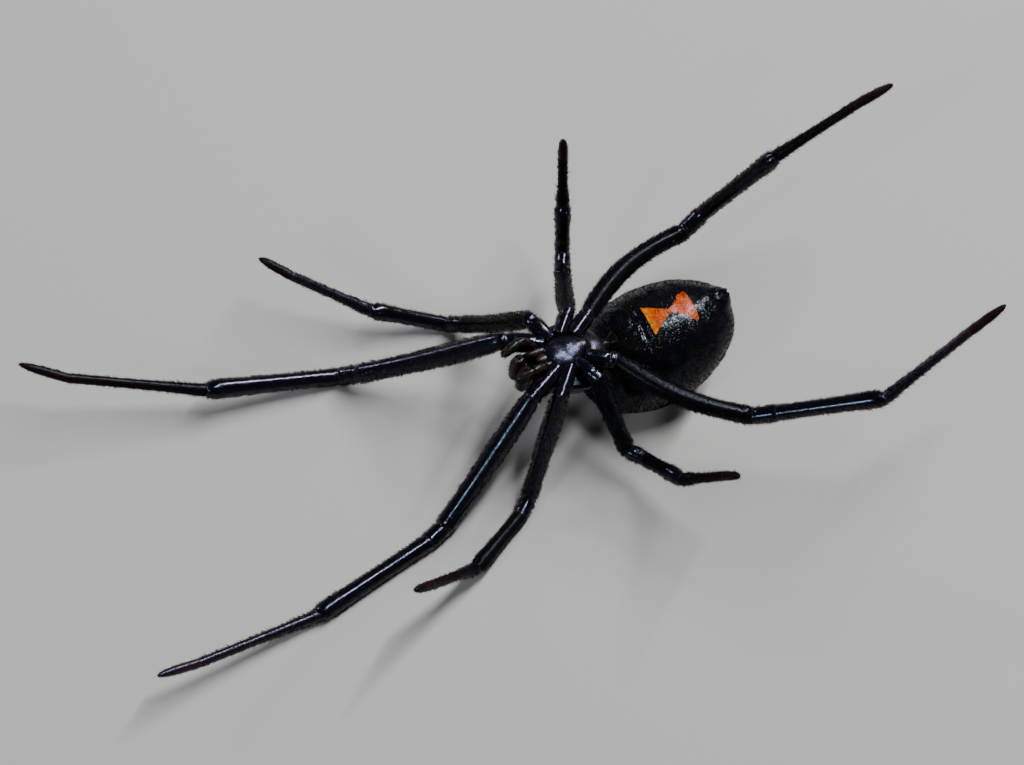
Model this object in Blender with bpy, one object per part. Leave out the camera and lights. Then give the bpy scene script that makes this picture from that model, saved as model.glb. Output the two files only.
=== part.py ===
"""A female black widow spider, life size, lying on her back with her legs spread.

The body axes are x to her right, -y to her head and z out of her belly. Lengths are in
millimetres until each finished mesh is scaled to metres. The origin is on the floor,
under the middle of the box round the whole animal.
"""
import math

import bmesh
import bpy
from mathutils import Vector
from mathutils.bvhtree import BVHTree

METRES_PER_MM = 0.001

# The middle of the chest plate stands here, and everything else is placed from it.
CHEST = Vector((0.8, 3.39, 6.3))

# The gaps that part two pieces: at a leg joint, half of it for each side of the joint, round
# the chest, under an eye or a fang, and under the spinnerets.
JOINT_GAP = 0.3
END_GAP = JOINT_GAP / 2
CHEST_GAP = 0.14
SEAT_GAP = 0.05
SPINNERET_GAP = 0.2

# The back shield, as stations of (ahead, half width, crown) from its rim plane. Its arch is a
# little fuller than a half circle.
SHIELD_RIM = -1.08
SHIELD_POINTS = 15
SHIELD_FULLNESS = 0.9
SHIELD_STATIONS = (
    (-2.25, 0.5, 0.47), (-1.95, 1.15, 0.92), (-1.2, 1.8, 1.37), (-0.4, 1.97, 1.59), (0.4, 1.78, 1.63),
    (1.0, 1.38, 1.69), (1.55, 1.06, 1.62), (1.86, 0.98, 1.27), (1.96, 0.88, 0.87),
)

# The chest plate and the softer flank under it, as stations of (belly, half length, half
# width). Both are heart-shaped, narrow behind, and the legs grow from the flank.
CHEST_SIDES = 20
HEART_TAPER = 0.16
HEART_WIDTH = 0.86
CHEST_STATIONS = (
    (SHIELD_RIM - 0.3, 1.45, 1.16), (-0.62, 1.46, 1.17), (-0.42, 1.4, 1.11), (-0.2, 1.3, 1.03),
    (-0.06, 1.2, 0.95), (0.02, 0.72, 0.57),
)
CHEST_TOP = 0.05

# The lip as stations of (ahead, half width), and each mouth lobe beside it as stations of
# (ahead, half width, half depth), with the way it leans outward and toward the belly.
LIP_ROOT = (1.05, 0.0, -0.28)
LIP_DEPTH = 0.16
LIP_STATIONS = ((0.0, 0.26), (0.3, 0.24), (0.59, 0.12))
LOBE_ROOT = (1.05, 0.43, -0.36)
LOBE_LEAN = (0.06, 0.14)
LOBE_STATIONS = ((0.0, 0.22, 0.22), (0.5, 0.24, 0.22), (0.92, 0.16, 0.14))
SMALL_SIDES = 8

# The abdomen, as stations of (ahead, half width, belly, back). It is nearly flat below
# the belly line, and its round back end hangs toward the floor.
ABDOMEN_NOSE = (-1.52, -4.25)
ABDOMEN_TAIL = (-9.56, -2.05)
ABDOMEN_STATIONS = (
    (-1.7, 1.0, -3.35, -5.0), (-2.3, 2.0, -1.95, -5.75), (-3.3, 2.65, -0.95, -6.2),
    (-4.6, 2.95, -0.42, -6.4), (-5.8, 2.98, -0.25, -6.3), (-7.0, 2.75, -0.28, -5.75),
    (-8.1, 2.3, -0.48, -4.9), (-8.95, 1.65, -0.88, -3.95), (-9.4, 0.95, -1.35, -3.0),
)
ABDOMEN_SIDES = 28

# The waist, as stations of (back, half width), a little flatter than it is wide. It starts
# this far below the shield's rim plane.
WAIST_STATIONS = ((0.0, 0.3), (0.09, 0.26), (0.18, 0.26))
WAIST_FLATNESS = 0.8
WAIST_DROP = 0.14

# The three pairs of spinnerets, as (ahead, out, length, radius), on one low ring, as stations
# of (rise, radius). The ring stands where a line through the tail leaves the abdomen.
SPINNERET_LINE = ((-7.6, 0.0, -2.0), (-9.1, 0.0, -0.6))
SPINNERET_RING = ((0.0, 0.66), (0.12, 0.63), (0.2, 0.5))
SPINNERET_SIDES = 12
SPINNERET_ROOT = 0.08
SPINNERETS = ((0.2, 0.17, 0.34, 0.16), (0.0, 0.24, 0.24, 0.1), (-0.2, 0.17, 0.3, 0.13))
SPINNERET_CONE = ((0.0, 1.0), (0.65, 0.725), (0.92, 0.45))
INWARD_LEAN, ROUND_LEAN = 0.12, 0.6

# The eyes stand where lines from the middle of the head leave it. Each row has its lift and
# the swings of its inner and outer eyes, and each eye is a dome of (rise, width) in its radius.
HEAD_MIDDLE = (1.25, 0.0, -1.75)
EYE_ROWS = {"front": (-4, (13, 38)), "rear": (-42, (14, 42))}
EYE_RADIUS = {"inner": 0.12, "outer": 0.105}
EYE_DOME = ((0.0, 1.0), (0.4, 0.92), (0.75, 0.6))
EYE_CROWN = 0.95
PAST_THE_SKIN = 20.0

# The jaws, as stations of (belly, half width, half depth, ahead), and the fangs as stations
# of (rise, radius, inward), with a tip at (inward, back, rise).
FANG_BASE_AHEAD = 2.44
FANG_BASE_SPREAD = 0.37
JAW_STATIONS = (
    (-1.8, 0.2, 0.24, 0.02), (-1.6, 0.29, 0.33, 0.03), (-1.1, 0.34, 0.38, 0.05), (-0.6, 0.34, 0.38, 0.05),
    (-0.25, 0.29, 0.32, 0.03), (-0.08, 0.2, 0.22, 0.0),
)
JAW_SIDES = 12
FANG_STATIONS = ((0.0, 0.09, 0.0), (0.1, 0.075, 0.03), (0.2, 0.055, 0.1))
FANG_TIP = (0.24, 0.1, 0.27)
FANG_SWEEP = 0.3

# The feelers, posed as the legs are below. Their rings are shares of their radius, and the last
# part's stand at shares of its length.
PALP_ROOT = (1.62, 0.7, 0.2)
PALP_ROOT_RADIUS = 0.17
PALP_RADIUS = 0.25
PALP_SEGMENTS = (0.52, 0.45, 1.02)
PALP_MIDDLE, PALP_JOINT = 0.95, 0.9
PALP_END = ((0.3, 1.0), (0.6, 1.05), (0.85, 0.85), (0.96, 0.5))
PALP_POSE = {
    "left": ((24, 40), (-2, 8), (-14, -13)),
    "right": ((24, 40), (6, 6), (2, -15)),
}

# The four pairs of legs. Segment lengths run femur, patella, tibia, metatarsus, tarsus.
SEGMENTS = {
    1: (8.1, 1.15, 7.3, 7.3, 2.6),
    2: (6.2, 1.05, 4.3, 4.5, 1.9),
    3: (4.5, 0.9, 2.8, 3.0, 1.4),
    4: (7.4, 1.3, 5.6, 5.3, 2.3),
}
THIGH_RADIUS = {1: 0.54, 2: 0.47, 3: 0.45, 4: 0.5}
COXA_ROOT = {1: (1.22, 0.98), 2: (0.48, 1.24), 3: (-0.42, 1.22), 4: (-1.12, 0.88)}
COXA_END = {
    "left": {1: (2.87, 1.82), 2: (0.85, 2.4), 3: (-1.15, 1.97), 4: (-2.1, 1.5)},
    "right": {1: (2.87, 1.82), 2: (1.45, 2.28), 3: (-0.75, 2.05), 4: (-2.1, 1.5)},
}
COXA_DEPTH = -0.35
FOOT_RADIUS = 0.25
LEG_SIDES = 10
LEAN_REACH = 0.5

# How thick each part of a leg is along its length, as a share of the thigh's radius or of the
# foot's. Each place is in mm from the part's start or end, or a share of its length.
COXA_PROFILE = (
    ("start", CHEST_GAP, 0.64), ("start", 0.34, 0.78), ("share", 0.55, 0.9), ("share", 0.72, 0.74),
    ("share", 0.82, 0.88), ("end", END_GAP, 0.84),
)
FEMUR_PROFILE = (
    ("start", END_GAP, 0.84), ("start", 0.6, 0.93), ("share", 0.2, 0.98), ("share", 0.36, 1.0),
    ("share", 0.52, 0.96), ("share", 0.68, 0.91), ("share", 0.82, 0.91), ("end", 0.6, 0.94),
    ("end", END_GAP, 0.86),
)
PATELLA_PROFILE = (
    ("start", END_GAP, 0.82), ("share", 0.42, 0.87), ("share", 0.7, 0.88), ("share", 1.0, 0.76),
)
TIBIA_PROFILE = (
    ("share", 0.1, 0.8), ("share", 0.25, 0.76), ("share", 0.5, 0.72), ("share", 0.74, 0.76),
    ("end", 0.6, 0.86), ("end", END_GAP, 0.74),
)
METATARSUS_PROFILE = (
    ("start", END_GAP, 1.2), ("start", 0.6, 1.12), ("share", 0.35, 1.04), ("share", 0.7, 1.0),
    ("share", 1.0, 1.0),
)
TARSUS_PROFILE = (("share", 0.2, 0.98), ("share", 0.6, 0.92), ("share", 0.85, 0.66), ("share", 0.96, 0.34))

# How far each femur bows, as a share of its length, and the way it bows: ahead, out, up.
FEMUR_BOW = {1: 0.02, 2: 0.03, 3: 0.04, 4: 0.08}
BOW_WAY = {1: (0.0, 0.0, -1.0), 2: (0.0, 0.0, -1.0), 3: (0.0, 0.0, -1.0), 4: (0.5, 0.85, 0.0)}

# How each leg is held: swing from the head round to the tail, and lift toward the belly,
# in degrees, for femur, patella, tibia, metatarsus and tarsus.
POSE = {
    (1, "left"): ((33, -37), (40, -36), (10, 10), (21, 12), (34, 12)),
    (2, "left"): ((72, -53), (52, -38), (23, 18), (36, 22), (48, 14)),
    (3, "left"): ((118, -28), (117, 4), (106, 59), (96, 71), (62, 82)),
    (4, "left"): ((159, -3), (166, 27), (194, 55), (193, 46), (199, 46)),
    (1, "right"): ((23, -43), (21, -2), (13, 0), (6, 10), (4, 15)),
    (2, "right"): ((44, -62), (40, -6), (30, 7), (20, 35), (19, 37)),
    (3, "right"): ((109, -52), (127, -3), (107, 24), (123, 47), (109, 51)),
    (4, "right"): ((134, -5), (150, 24), (151, 24), (187, 27), (183, 31)),
}
SIDES = {"left": -1, "right": 1}
RIGHTWARD = Vector((1.0, 0.0, 0.0))
HEADWARD = Vector((0.0, -1.0, 0.0))
BELLYWARD = Vector((0.0, 0.0, 1.0))

# The finish of each kind of piece, as its base colour and its roughness.
SHELL_BLACK = (0.006, 0.006, 0.009, 1.0)
FOOT_BROWN = (0.02, 0.009, 0.009, 1.0)
JAW_BROWN = (0.024, 0.012, 0.007, 1.0)
FINISHES = {
    "leg": (SHELL_BLACK, 0.2), "back": (SHELL_BLACK, 0.22), "abdomen": (SHELL_BLACK, 0.25),
    "spinnerets": (SHELL_BLACK, 0.35), "eye": (SHELL_BLACK, 0.08), "jaw": (JAW_BROWN, 0.3),
    "fang": (JAW_BROWN, 0.15), "palp": (JAW_BROWN, 0.35), "foot": (FOOT_BROWN, 0.4),
}


def body_point(ahead, right, belly):
    """A place on the animal, from the middle of the chest plate."""
    return CHEST + Vector((right, -ahead, belly))


def heading(swing, lift, side):
    """The way that a limb points."""
    turn, rise = math.radians(swing), math.radians(lift)
    flat = math.cos(rise)
    return Vector((side * math.sin(turn) * flat, -math.cos(turn) * flat, math.sin(rise)))


def finish_of(name, kind):
    """The finish of one piece."""
    base_colour, roughness = FINISHES[kind]
    finish = bpy.data.materials.new(name)
    finish.use_nodes = True
    surface = finish.node_tree.nodes["Principled BSDF"]
    surface.inputs["Base Color"].default_value = base_colour
    surface.inputs["Roughness"].default_value = roughness
    surface.inputs["Metallic"].default_value = 0.0
    return finish


def place_piece(name, mesh, kind):
    """Set a mesh down as a named object. What would sink into the floor is pressed flat."""
    for vertex in mesh.verts:
        vertex.co.z = max(vertex.co.z, 0.0)
    bmesh.ops.triangulate(mesh, faces=mesh.faces[:])
    bmesh.ops.scale(mesh, vec=(METRES_PER_MM,) * 3, verts=mesh.verts[:])
    data = bpy.data.meshes.new(name)
    mesh.to_mesh(data)
    mesh.free()
    data.shade_smooth()
    data.materials.append(finish_of(name, kind))
    piece = bpy.data.objects.new(name, data)
    bpy.context.scene.collection.objects.link(piece)
    return piece


def loft(rings, start_pole=None, end_pole=None):
    """Join rings of points in turn, closing each end flat or onto a pole."""
    mesh = bmesh.new()
    rows = [[mesh.verts.new(point) for point in ring] for ring in rings]
    count = len(rows[0])
    for row, after in zip(rows, rows[1:]):
        for index in range(count):
            follow = (index + 1) % count
            mesh.faces.new((row[index], row[follow], after[follow], after[index]))
    for row, pole in ((rows[0], start_pole), (rows[-1], end_pole)):
        if pole is None:
            mesh.faces.new(row)
            continue
        tip = mesh.verts.new(pole)
        for index in range(count):
            mesh.faces.new((row[index], row[(index + 1) % count], tip))
    bmesh.ops.triangulate(mesh, faces=mesh.faces[:])
    bmesh.ops.recalc_face_normals(mesh, faces=mesh.faces[:])
    return mesh


def ring_round(centre, along, beside, width, depth, sides):
    """An oval ring across a limb, with its width toward the side given."""
    across = (beside - along * beside.dot(along)).normalized()
    upward = across.cross(along)
    points = []
    for index in range(sides):
        angle = 2.0 * math.pi * (index + 0.5) / sides
        points.append(centre + across * (width * math.cos(angle)) + upward * (depth * math.sin(angle)))
    return points


def leaning_ring(centre, facing, along, beside, radius, sides):
    """A ring in the plane that faces one way, of a limb that runs another way."""
    slope = facing.dot(along)
    upright = ring_round(centre, along, beside, radius, radius, sides)
    return [point - along * ((point - centre).dot(facing) / slope) for point in upright]


def smooth_stations(stations, steps):
    """Fill in between stations with a curve that passes through each of them."""
    filled = []
    last = len(stations) - 1
    for index in range(last):
        before = stations[max(index - 1, 0)]
        here, there = stations[index], stations[index + 1]
        after = stations[min(index + 2, last)]
        for step in range(steps):
            share = step / steps
            filled.append(tuple(
                0.5 * (2 * b + (c - a) * share + (2 * a - 5 * b + 4 * c - d) * share ** 2
                       + (3 * b - a - 3 * c + d) * share ** 3)
                for a, b, c, d in zip(before, here, there, after)))
    filled.append(stations[-1])
    return filled


def fuse(name, meshes):
    """Join closed meshes into one closed surface."""
    group = bpy.data.collections.new(name)
    for mesh in meshes:
        data = bpy.data.meshes.new(name)
        mesh.to_mesh(data)
        mesh.free()
        group.objects.link(bpy.data.objects.new(name, data))
    first = group.objects[0]
    group.objects.unlink(first)
    bpy.context.scene.collection.objects.link(first)
    join = first.modifiers.new("join", "BOOLEAN")
    join.operation = "UNION"
    join.operand_type = "COLLECTION"
    join.collection = group
    join.solver = "EXACT"
    evaluated = first.evaluated_get(bpy.context.evaluated_depsgraph_get())
    joined = bmesh.new()
    joined.from_mesh(evaluated.to_mesh())
    evaluated.to_mesh_clear()
    for scrap in list(group.objects) + [first]:
        bpy.data.objects.remove(scrap)
    bpy.data.collections.remove(group)
    keep_largest(joined)
    return joined


def keep_largest(mesh):
    """Drop every closed surface but the largest."""
    unseen = set(mesh.faces)
    shells = []
    while unseen:
        reached = [unseen.pop()]
        for face in reached:
            for edge in face.edges:
                for other in edge.link_faces:
                    if other in unseen:
                        unseen.remove(other)
                        reached.append(other)
        shells.append(reached)
    shells.sort(key=lambda faces: sum(face.calc_area() for face in faces))
    scrap = [face for faces in shells[:-1] for face in faces]
    bmesh.ops.delete(mesh, geom=scrap, context="FACES")


def spinneret(base, along, length, radius):
    """One spinneret, a small blunt cone."""
    rings = [ring_round(base + along * (length * share), along, RIGHTWARD, radius * size,
                        radius * size, SMALL_SIDES) for share, size in SPINNERET_CONE]
    return loft(rings, end_pole=base + along * length)


def build_cephalothorax():
    """The back shield and the chest plate, with the lip and the two lobes beside it."""
    rings = []
    last_point = SHIELD_POINTS - 1
    for ahead, half_width, crown in smooth_stations(SHIELD_STATIONS, 2):
        ring = []
        for index in range(SHIELD_POINTS):
            angle = math.pi * index / last_point
            rise = math.sin(angle) ** SHIELD_FULLNESS if 0 < index < last_point else 0.0
            ring.append(body_point(ahead, half_width * math.cos(angle), SHIELD_RIM - crown * rise))
        rings.append(ring)
    shield = loft(rings)

    rings = []
    for belly, half_length, half_width in CHEST_STATIONS:
        ring = []
        for index in range(CHEST_SIDES):
            angle = 2.0 * math.pi * index / CHEST_SIDES
            across = half_width * (1.0 - HEART_TAPER * (1.0 - math.cos(angle))) / HEART_WIDTH
            ring.append(body_point(half_length * math.cos(angle), across * math.sin(angle), belly))
        rings.append(ring)
    plate = loft(rings, end_pole=body_point(0.0, 0.0, CHEST_TOP))

    pieces = [shield, plate]
    root = body_point(*LIP_ROOT)
    rings = [ring_round(root + HEADWARD * ahead, HEADWARD, RIGHTWARD, width, LIP_DEPTH, SMALL_SIDES)
             for ahead, width in LIP_STATIONS]
    pieces.append(loft(rings))
    root_ahead, root_out, root_belly = LOBE_ROOT
    lean_out, lean_belly = LOBE_LEAN
    for side in SIDES.values():
        root = body_point(root_ahead, side * root_out, root_belly)
        along = Vector((side * lean_out, -1.0, lean_belly)).normalized()
        rings = [ring_round(root + along * ahead, along, RIGHTWARD, width, depth, SMALL_SIDES)
                 for ahead, width, depth in LOBE_STATIONS]
        pieces.append(loft(rings))
    body = fuse("cephalothorax", pieces)
    surface = BVHTree.FromBMesh(body)
    place_piece("cephalothorax", body, "back")
    return surface


def build_waist():
    """The short narrow waist between the two halves of the body."""
    front = body_point(SHIELD_STATIONS[0][0] - CHEST_GAP, 0.0, SHIELD_RIM - WAIST_DROP)
    rings = [ring_round(front - HEADWARD * back, HEADWARD, RIGHTWARD, width, width * WAIST_FLATNESS,
                        LEG_SIDES) for back, width in WAIST_STATIONS]
    place_piece("waist", loft(rings), "back")


def build_abdomen():
    """The globe of the abdomen, pressed a little flat where it rests."""
    rings = []
    for ahead, half_width, belly, back in smooth_stations(ABDOMEN_STATIONS, 2):
        middle, half_height = (belly + back) / 2, (belly - back) / 2
        ring = []
        for index in range(ABDOMEN_SIDES):
            angle = 2.0 * math.pi * index / ABDOMEN_SIDES
            ring.append(body_point(ahead, half_width * math.cos(angle),
                                   middle + half_height * math.sin(angle)))
        rings.append(ring)
    nose = body_point(ABDOMEN_NOSE[0], 0.0, ABDOMEN_NOSE[1])
    tail = body_point(ABDOMEN_TAIL[0], 0.0, ABDOMEN_TAIL[1])
    globe = loft(rings, nose, tail)
    surface = BVHTree.FromBMesh(globe)
    place_piece("abdomen", globe, "abdomen")
    return surface


def seat(surface, inside, way):
    """Where a line from inside a body leaves it, and the way its surface faces there."""
    outside = inside + way * PAST_THE_SKIN
    place, normal, _, _ = surface.ray_cast(outside, -way)
    if normal.dot(way) < 0.0:
        normal = -normal
    return place, normal.normalized()


def build_spinnerets(surface):
    """Three pairs of spinnerets on one ring."""
    inside, outside = (body_point(*place) for place in SPINNERET_LINE)
    place, normal = seat(surface, inside, (outside - inside).normalized())
    base = place + normal * SPINNERET_GAP
    forward = normal.cross(RIGHTWARD).normalized()
    pieces = [loft([ring_round(base + normal * rise, normal, RIGHTWARD, radius, radius, SPINNERET_SIDES)
                    for rise, radius in SPINNERET_RING])]
    for ahead, out, length, radius in SPINNERETS:
        for side in SIDES.values():
            root = base + normal * SPINNERET_ROOT + forward * ahead + RIGHTWARD * (side * out)
            along = normal - RIGHTWARD * (side * INWARD_LEAN) - forward * (ahead * ROUND_LEAN)
            pieces.append(spinneret(root, along.normalized(), length, radius))
    place_piece("spinnerets", fuse("spinnerets", pieces), "spinnerets")


def build_eyes(surface):
    """Eight small eyes in two rows across the front of the head."""
    head_middle = body_point(*HEAD_MIDDLE)
    for row_name, (lift, swings) in EYE_ROWS.items():
        for (kind, radius), swing in zip(EYE_RADIUS.items(), swings):
            for side_name, side in SIDES.items():
                place, normal = seat(surface, head_middle, heading(swing, lift, side))
                base = place + normal * SEAT_GAP
                rings = [ring_round(base + normal * (rise * radius), normal, RIGHTWARD,
                                    share * radius, share * radius, SMALL_SIDES)
                         for rise, share in EYE_DOME]
                dome = loft(rings, end_pole=base + normal * (radius * EYE_CROWN))
                place_piece(f"eye_{row_name}_{kind}_{side_name}", dome, "eye")


def build_jaws():
    """The two chelicerae, each with a short curved fang folded in at its end."""
    for side_name, side in SIDES.items():
        rings = [ring_round(body_point(FANG_BASE_AHEAD + ahead, side * FANG_BASE_SPREAD, belly),
                            BELLYWARD, RIGHTWARD, width, depth, JAW_SIDES)
                 for belly, width, depth, ahead in JAW_STATIONS]
        place_piece(f"chelicera_{side_name}", loft(rings), "jaw")
        root = body_point(FANG_BASE_AHEAD, side * FANG_BASE_SPREAD, JAW_STATIONS[-1][0] + SEAT_GAP)
        rings = [ring_round(root + Vector((-side * inward, inward * FANG_SWEEP, rise)), BELLYWARD,
                            RIGHTWARD, radius, radius, SMALL_SIDES)
                 for rise, radius, inward in FANG_STATIONS]
        inward, back, rise = FANG_TIP
        tip = root + Vector((-side * inward, back, rise))
        place_piece(f"fang_{side_name}", loft(rings, end_pole=tip), "fang")


def build_palps():
    """The two short feelers beside the jaws."""
    for side_name, side in SIDES.items():
        place = body_point(PALP_ROOT[0], side * PALP_ROOT[1], PALP_ROOT[2])
        ways = [heading(swing, lift, side) for swing, lift in PALP_POSE[side_name]]
        beside = ways[0].cross(BELLYWARD)
        rings = [ring_round(place, ways[0], beside, PALP_ROOT_RADIUS, PALP_ROOT_RADIUS, LEG_SIDES)]
        for index, (way, length) in enumerate(zip(ways[:-1], PALP_SEGMENTS)):
            middle = place + way * (length / 2)
            rings.append(leaning_ring(middle, way, way, beside, PALP_RADIUS * PALP_MIDDLE, LEG_SIDES))
            place = place + way * length
            facing = (way + ways[index + 1]).normalized()
            rings.append(leaning_ring(place, facing, way, beside, PALP_RADIUS * PALP_JOINT, LEG_SIDES))
        for share, size in PALP_END:
            centre = place + ways[-1] * (PALP_SEGMENTS[-1] * share)
            rings.append(leaning_ring(centre, ways[-1], ways[-1], beside, PALP_RADIUS * size, LEG_SIDES))
        tip = place + ways[-1] * PALP_SEGMENTS[-1]
        place_piece(f"palp_{side_name}", loft(rings, end_pole=tip), "palp")


def run_along(start, end, profile, start_facing, end_facing, beside, bow=Vector()):
    """Rings along one leg segment, which lean toward the planes of its joints near its ends."""
    along = (end - start).normalized()
    length = (end - start).length
    bend = bow - along * bow.dot(along)
    first, last = profile[0][0], profile[-1][0]
    rings = []
    for place, radius in profile:
        share = math.pi * place / length
        centre = start + along * place + bend * math.sin(share)
        lean = (along + bend * (math.pi / length) * math.cos(share)).normalized()
        at_start = max(0.0, 1.0 - (place - first) / LEAN_REACH)
        at_end = max(0.0, 1.0 - (last - place) / LEAN_REACH)
        facing = (lean + (start_facing - lean) * at_start + (end_facing - lean) * at_end).normalized()
        rings.append(leaning_ring(centre, facing, lean, beside, radius, LEG_SIDES))
    return rings


def measured(profile, length, thick):
    """A profile's places and radii in mm, on a part of this length and thickness."""
    points = []
    for origin, place, size in profile:
        if origin == "share":
            place = place * length
        elif origin == "end":
            place = length - place
        points.append((place, thick * size))
    return points


def build_leg(pair, side_name):
    """One leg: coxa with trochanter, femur, tibia with patella, and foot."""
    side = SIDES[side_name]
    thick = THIGH_RADIUS[pair]
    lengths = SEGMENTS[pair]
    ways = [heading(swing, lift, side) for swing, lift in POSE[(pair, side_name)]]
    root = body_point(COXA_ROOT[pair][0], side * COXA_ROOT[pair][1], COXA_DEPTH)
    hip_ahead, hip_out = COXA_END[side_name][pair]
    hip = body_point(hip_ahead, side * hip_out, COXA_DEPTH)
    joints = [hip]
    for way, length in zip(ways, lengths):
        joints.append(joints[-1] + way * length)
    out = (hip - root).normalized()
    hip_plane = (out + ways[0]).normalized()
    knee, shin, ankle, heel = [(way + after).normalized() for way, after in zip(ways, ways[1:])]
    beside = heading(POSE[(pair, side_name)][0][0], 0, side).cross(BELLYWARD)
    prefix = f"leg_{pair}_{side_name}_"

    coxa_profile = measured(COXA_PROFILE, (hip - root).length, thick)
    place_piece(prefix + "coxa", loft(run_along(root, hip, coxa_profile, out, hip_plane, beside)), "leg")

    ahead, outward, upward = BOW_WAY[pair]
    bow = Vector((side * outward, -ahead, upward)) * (FEMUR_BOW[pair] * lengths[0])
    femur_profile = measured(FEMUR_PROFILE, lengths[0], thick)
    thigh = run_along(hip, joints[1], femur_profile, hip_plane, knee, beside, bow)
    place_piece(prefix + "femur", loft(thigh), "leg")

    patella_profile = measured(PATELLA_PROFILE, lengths[1], thick)
    shank = run_along(joints[1], joints[2], patella_profile, knee, shin, beside)
    tibia_profile = measured(TIBIA_PROFILE, lengths[2], thick)
    shank += run_along(joints[2], joints[3], tibia_profile, ways[2], ankle, beside)
    place_piece(prefix + "tibia", loft(shank), "leg")

    metatarsus_profile = measured(METATARSUS_PROFILE, lengths[3], FOOT_RADIUS)
    foot = run_along(joints[3], joints[4], metatarsus_profile, ankle, heel, beside)
    tarsus_profile = measured(TARSUS_PROFILE, lengths[4], FOOT_RADIUS)
    foot += run_along(joints[4], joints[5], tarsus_profile, ways[4], ways[4], beside)
    place_piece(prefix + "foot", loft(foot, end_pole=joints[5]), "foot")


for leftover in list(bpy.data.objects):
    bpy.data.objects.remove(leftover)

body_surface = build_cephalothorax()
build_waist()
build_jaws()
build_palps()
build_eyes(body_surface)
build_spinnerets(build_abdomen())
for leg_pair in SEGMENTS:
    for leg_side in SIDES:
        build_leg(leg_pair, leg_side)
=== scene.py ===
"""A female black widow spider on her back, life size, with her legs spread.

Lengths are in millimetres until a mesh is made, and then in metres. Places on the animal are
given as ahead, right and belly, from the middle of her chest plate.
"""

import math

import bmesh
import bpy
import numpy as np
from mathutils import Matrix, Vector, noise


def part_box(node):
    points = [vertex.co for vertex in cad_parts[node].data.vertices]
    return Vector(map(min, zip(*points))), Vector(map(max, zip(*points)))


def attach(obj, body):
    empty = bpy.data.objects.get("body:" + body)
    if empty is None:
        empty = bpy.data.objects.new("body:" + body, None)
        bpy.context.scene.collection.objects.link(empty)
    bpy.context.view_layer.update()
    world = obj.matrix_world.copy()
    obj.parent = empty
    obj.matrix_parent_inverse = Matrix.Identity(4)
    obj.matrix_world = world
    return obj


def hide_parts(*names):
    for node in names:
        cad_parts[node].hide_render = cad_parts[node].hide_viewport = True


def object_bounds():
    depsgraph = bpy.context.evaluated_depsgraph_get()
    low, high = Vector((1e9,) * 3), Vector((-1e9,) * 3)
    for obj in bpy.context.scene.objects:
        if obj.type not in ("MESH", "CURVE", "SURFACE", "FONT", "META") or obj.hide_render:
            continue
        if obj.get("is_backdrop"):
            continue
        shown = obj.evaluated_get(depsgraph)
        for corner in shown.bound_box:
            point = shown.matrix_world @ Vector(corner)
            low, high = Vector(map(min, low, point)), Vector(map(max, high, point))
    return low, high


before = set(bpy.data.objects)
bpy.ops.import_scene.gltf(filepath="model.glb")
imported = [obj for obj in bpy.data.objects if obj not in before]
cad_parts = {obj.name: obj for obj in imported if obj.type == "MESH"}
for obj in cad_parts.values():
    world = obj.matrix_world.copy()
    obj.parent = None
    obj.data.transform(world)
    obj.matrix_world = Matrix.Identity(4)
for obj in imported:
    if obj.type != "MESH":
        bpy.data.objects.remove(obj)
solid_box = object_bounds()

# The view looks down on the belly from beside the head, through a very long lens, so that the
# near legs stay as large as the far ones. The camera is rolled a little, as it was held.
MM = 0.001
VIEW_AZIMUTH, VIEW_ELEVATION, VIEW_ROLL = (math.radians(angle) for angle in (51.2, 56.87, 13.4))
VIEW_CENTRE = Vector((0.947, 0.430, 5.013)) * MM
VIEW_WIDTH = 51.2 * MM
LENS, SENSOR = 600.0, 36.0

toward_view = Vector((math.sin(VIEW_AZIMUTH) * math.cos(VIEW_ELEVATION),
                      -math.cos(VIEW_AZIMUTH) * math.cos(VIEW_ELEVATION), math.sin(VIEW_ELEVATION)))
level_right = Vector((math.cos(VIEW_AZIMUTH), math.sin(VIEW_AZIMUTH), 0.0))
view_right = (level_right * math.cos(VIEW_ROLL)
              + toward_view.cross(level_right) * math.sin(VIEW_ROLL)).normalized()
view_up = toward_view.cross(view_right)
camera = bpy.data.objects.new("camera", bpy.data.cameras.new("camera"))
camera.data.lens = LENS
camera.data.sensor_width = SENSOR
camera.data.clip_start = 0.05
camera.data.clip_end = 20.0
turned = Matrix((view_right, view_up, toward_view)).transposed().to_4x4()
stand_off = VIEW_WIDTH * LENS / SENSOR
camera.matrix_world = Matrix.Translation(VIEW_CENTRE + toward_view * stand_off) @ turned
bpy.context.scene.collection.objects.link(camera)
bpy.context.scene.camera = camera

# The floor is a plain pale sheet. The main light is a long soft box above the tail, which draws
# thin bright lines along the legs and the belly. Two small ones light it from the head and side.
FLOOR_SIZE, FLOOR_GREY = 3.0, (0.275, 0.264, 0.251, 1.0)
HORIZON_GLOW, OVERHEAD_GLOW, SKY_COLOUR = 0.22, 0.05, (0.80, 0.82, 0.84, 1.0)
UPRIGHT = (0.0, 0.0, 1.0)
# Each box: its name, the way to it, the way of its long side, its distance and sides in metres,
# its power in watts and its colour.
SOFT_BOXES = (
    ("key", (-0.17, 0.46, 0.87), (0.59, -0.815, 0.0), 0.30, (0.018, 0.3), 2.4, (0.95, 0.97, 1.0)),
    ("head_light", (0.3, -0.77, 0.57), UPRIGHT, 0.4, (0.05, 0.09), 0.7, (0.88, 0.9, 1.0)),
    ("side_light", (-0.83, -0.43, 0.42), UPRIGHT, 0.4, (0.05, 0.08), 0.55, (0.84, 0.82, 1.0)),
)


def new_finish(name):
    """An empty material and its tree, with the shader wired to the output."""
    finish = bpy.data.materials.new(name)
    finish.use_nodes = True
    tree = finish.node_tree
    return finish, tree, tree.nodes["Principled BSDF"]


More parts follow.
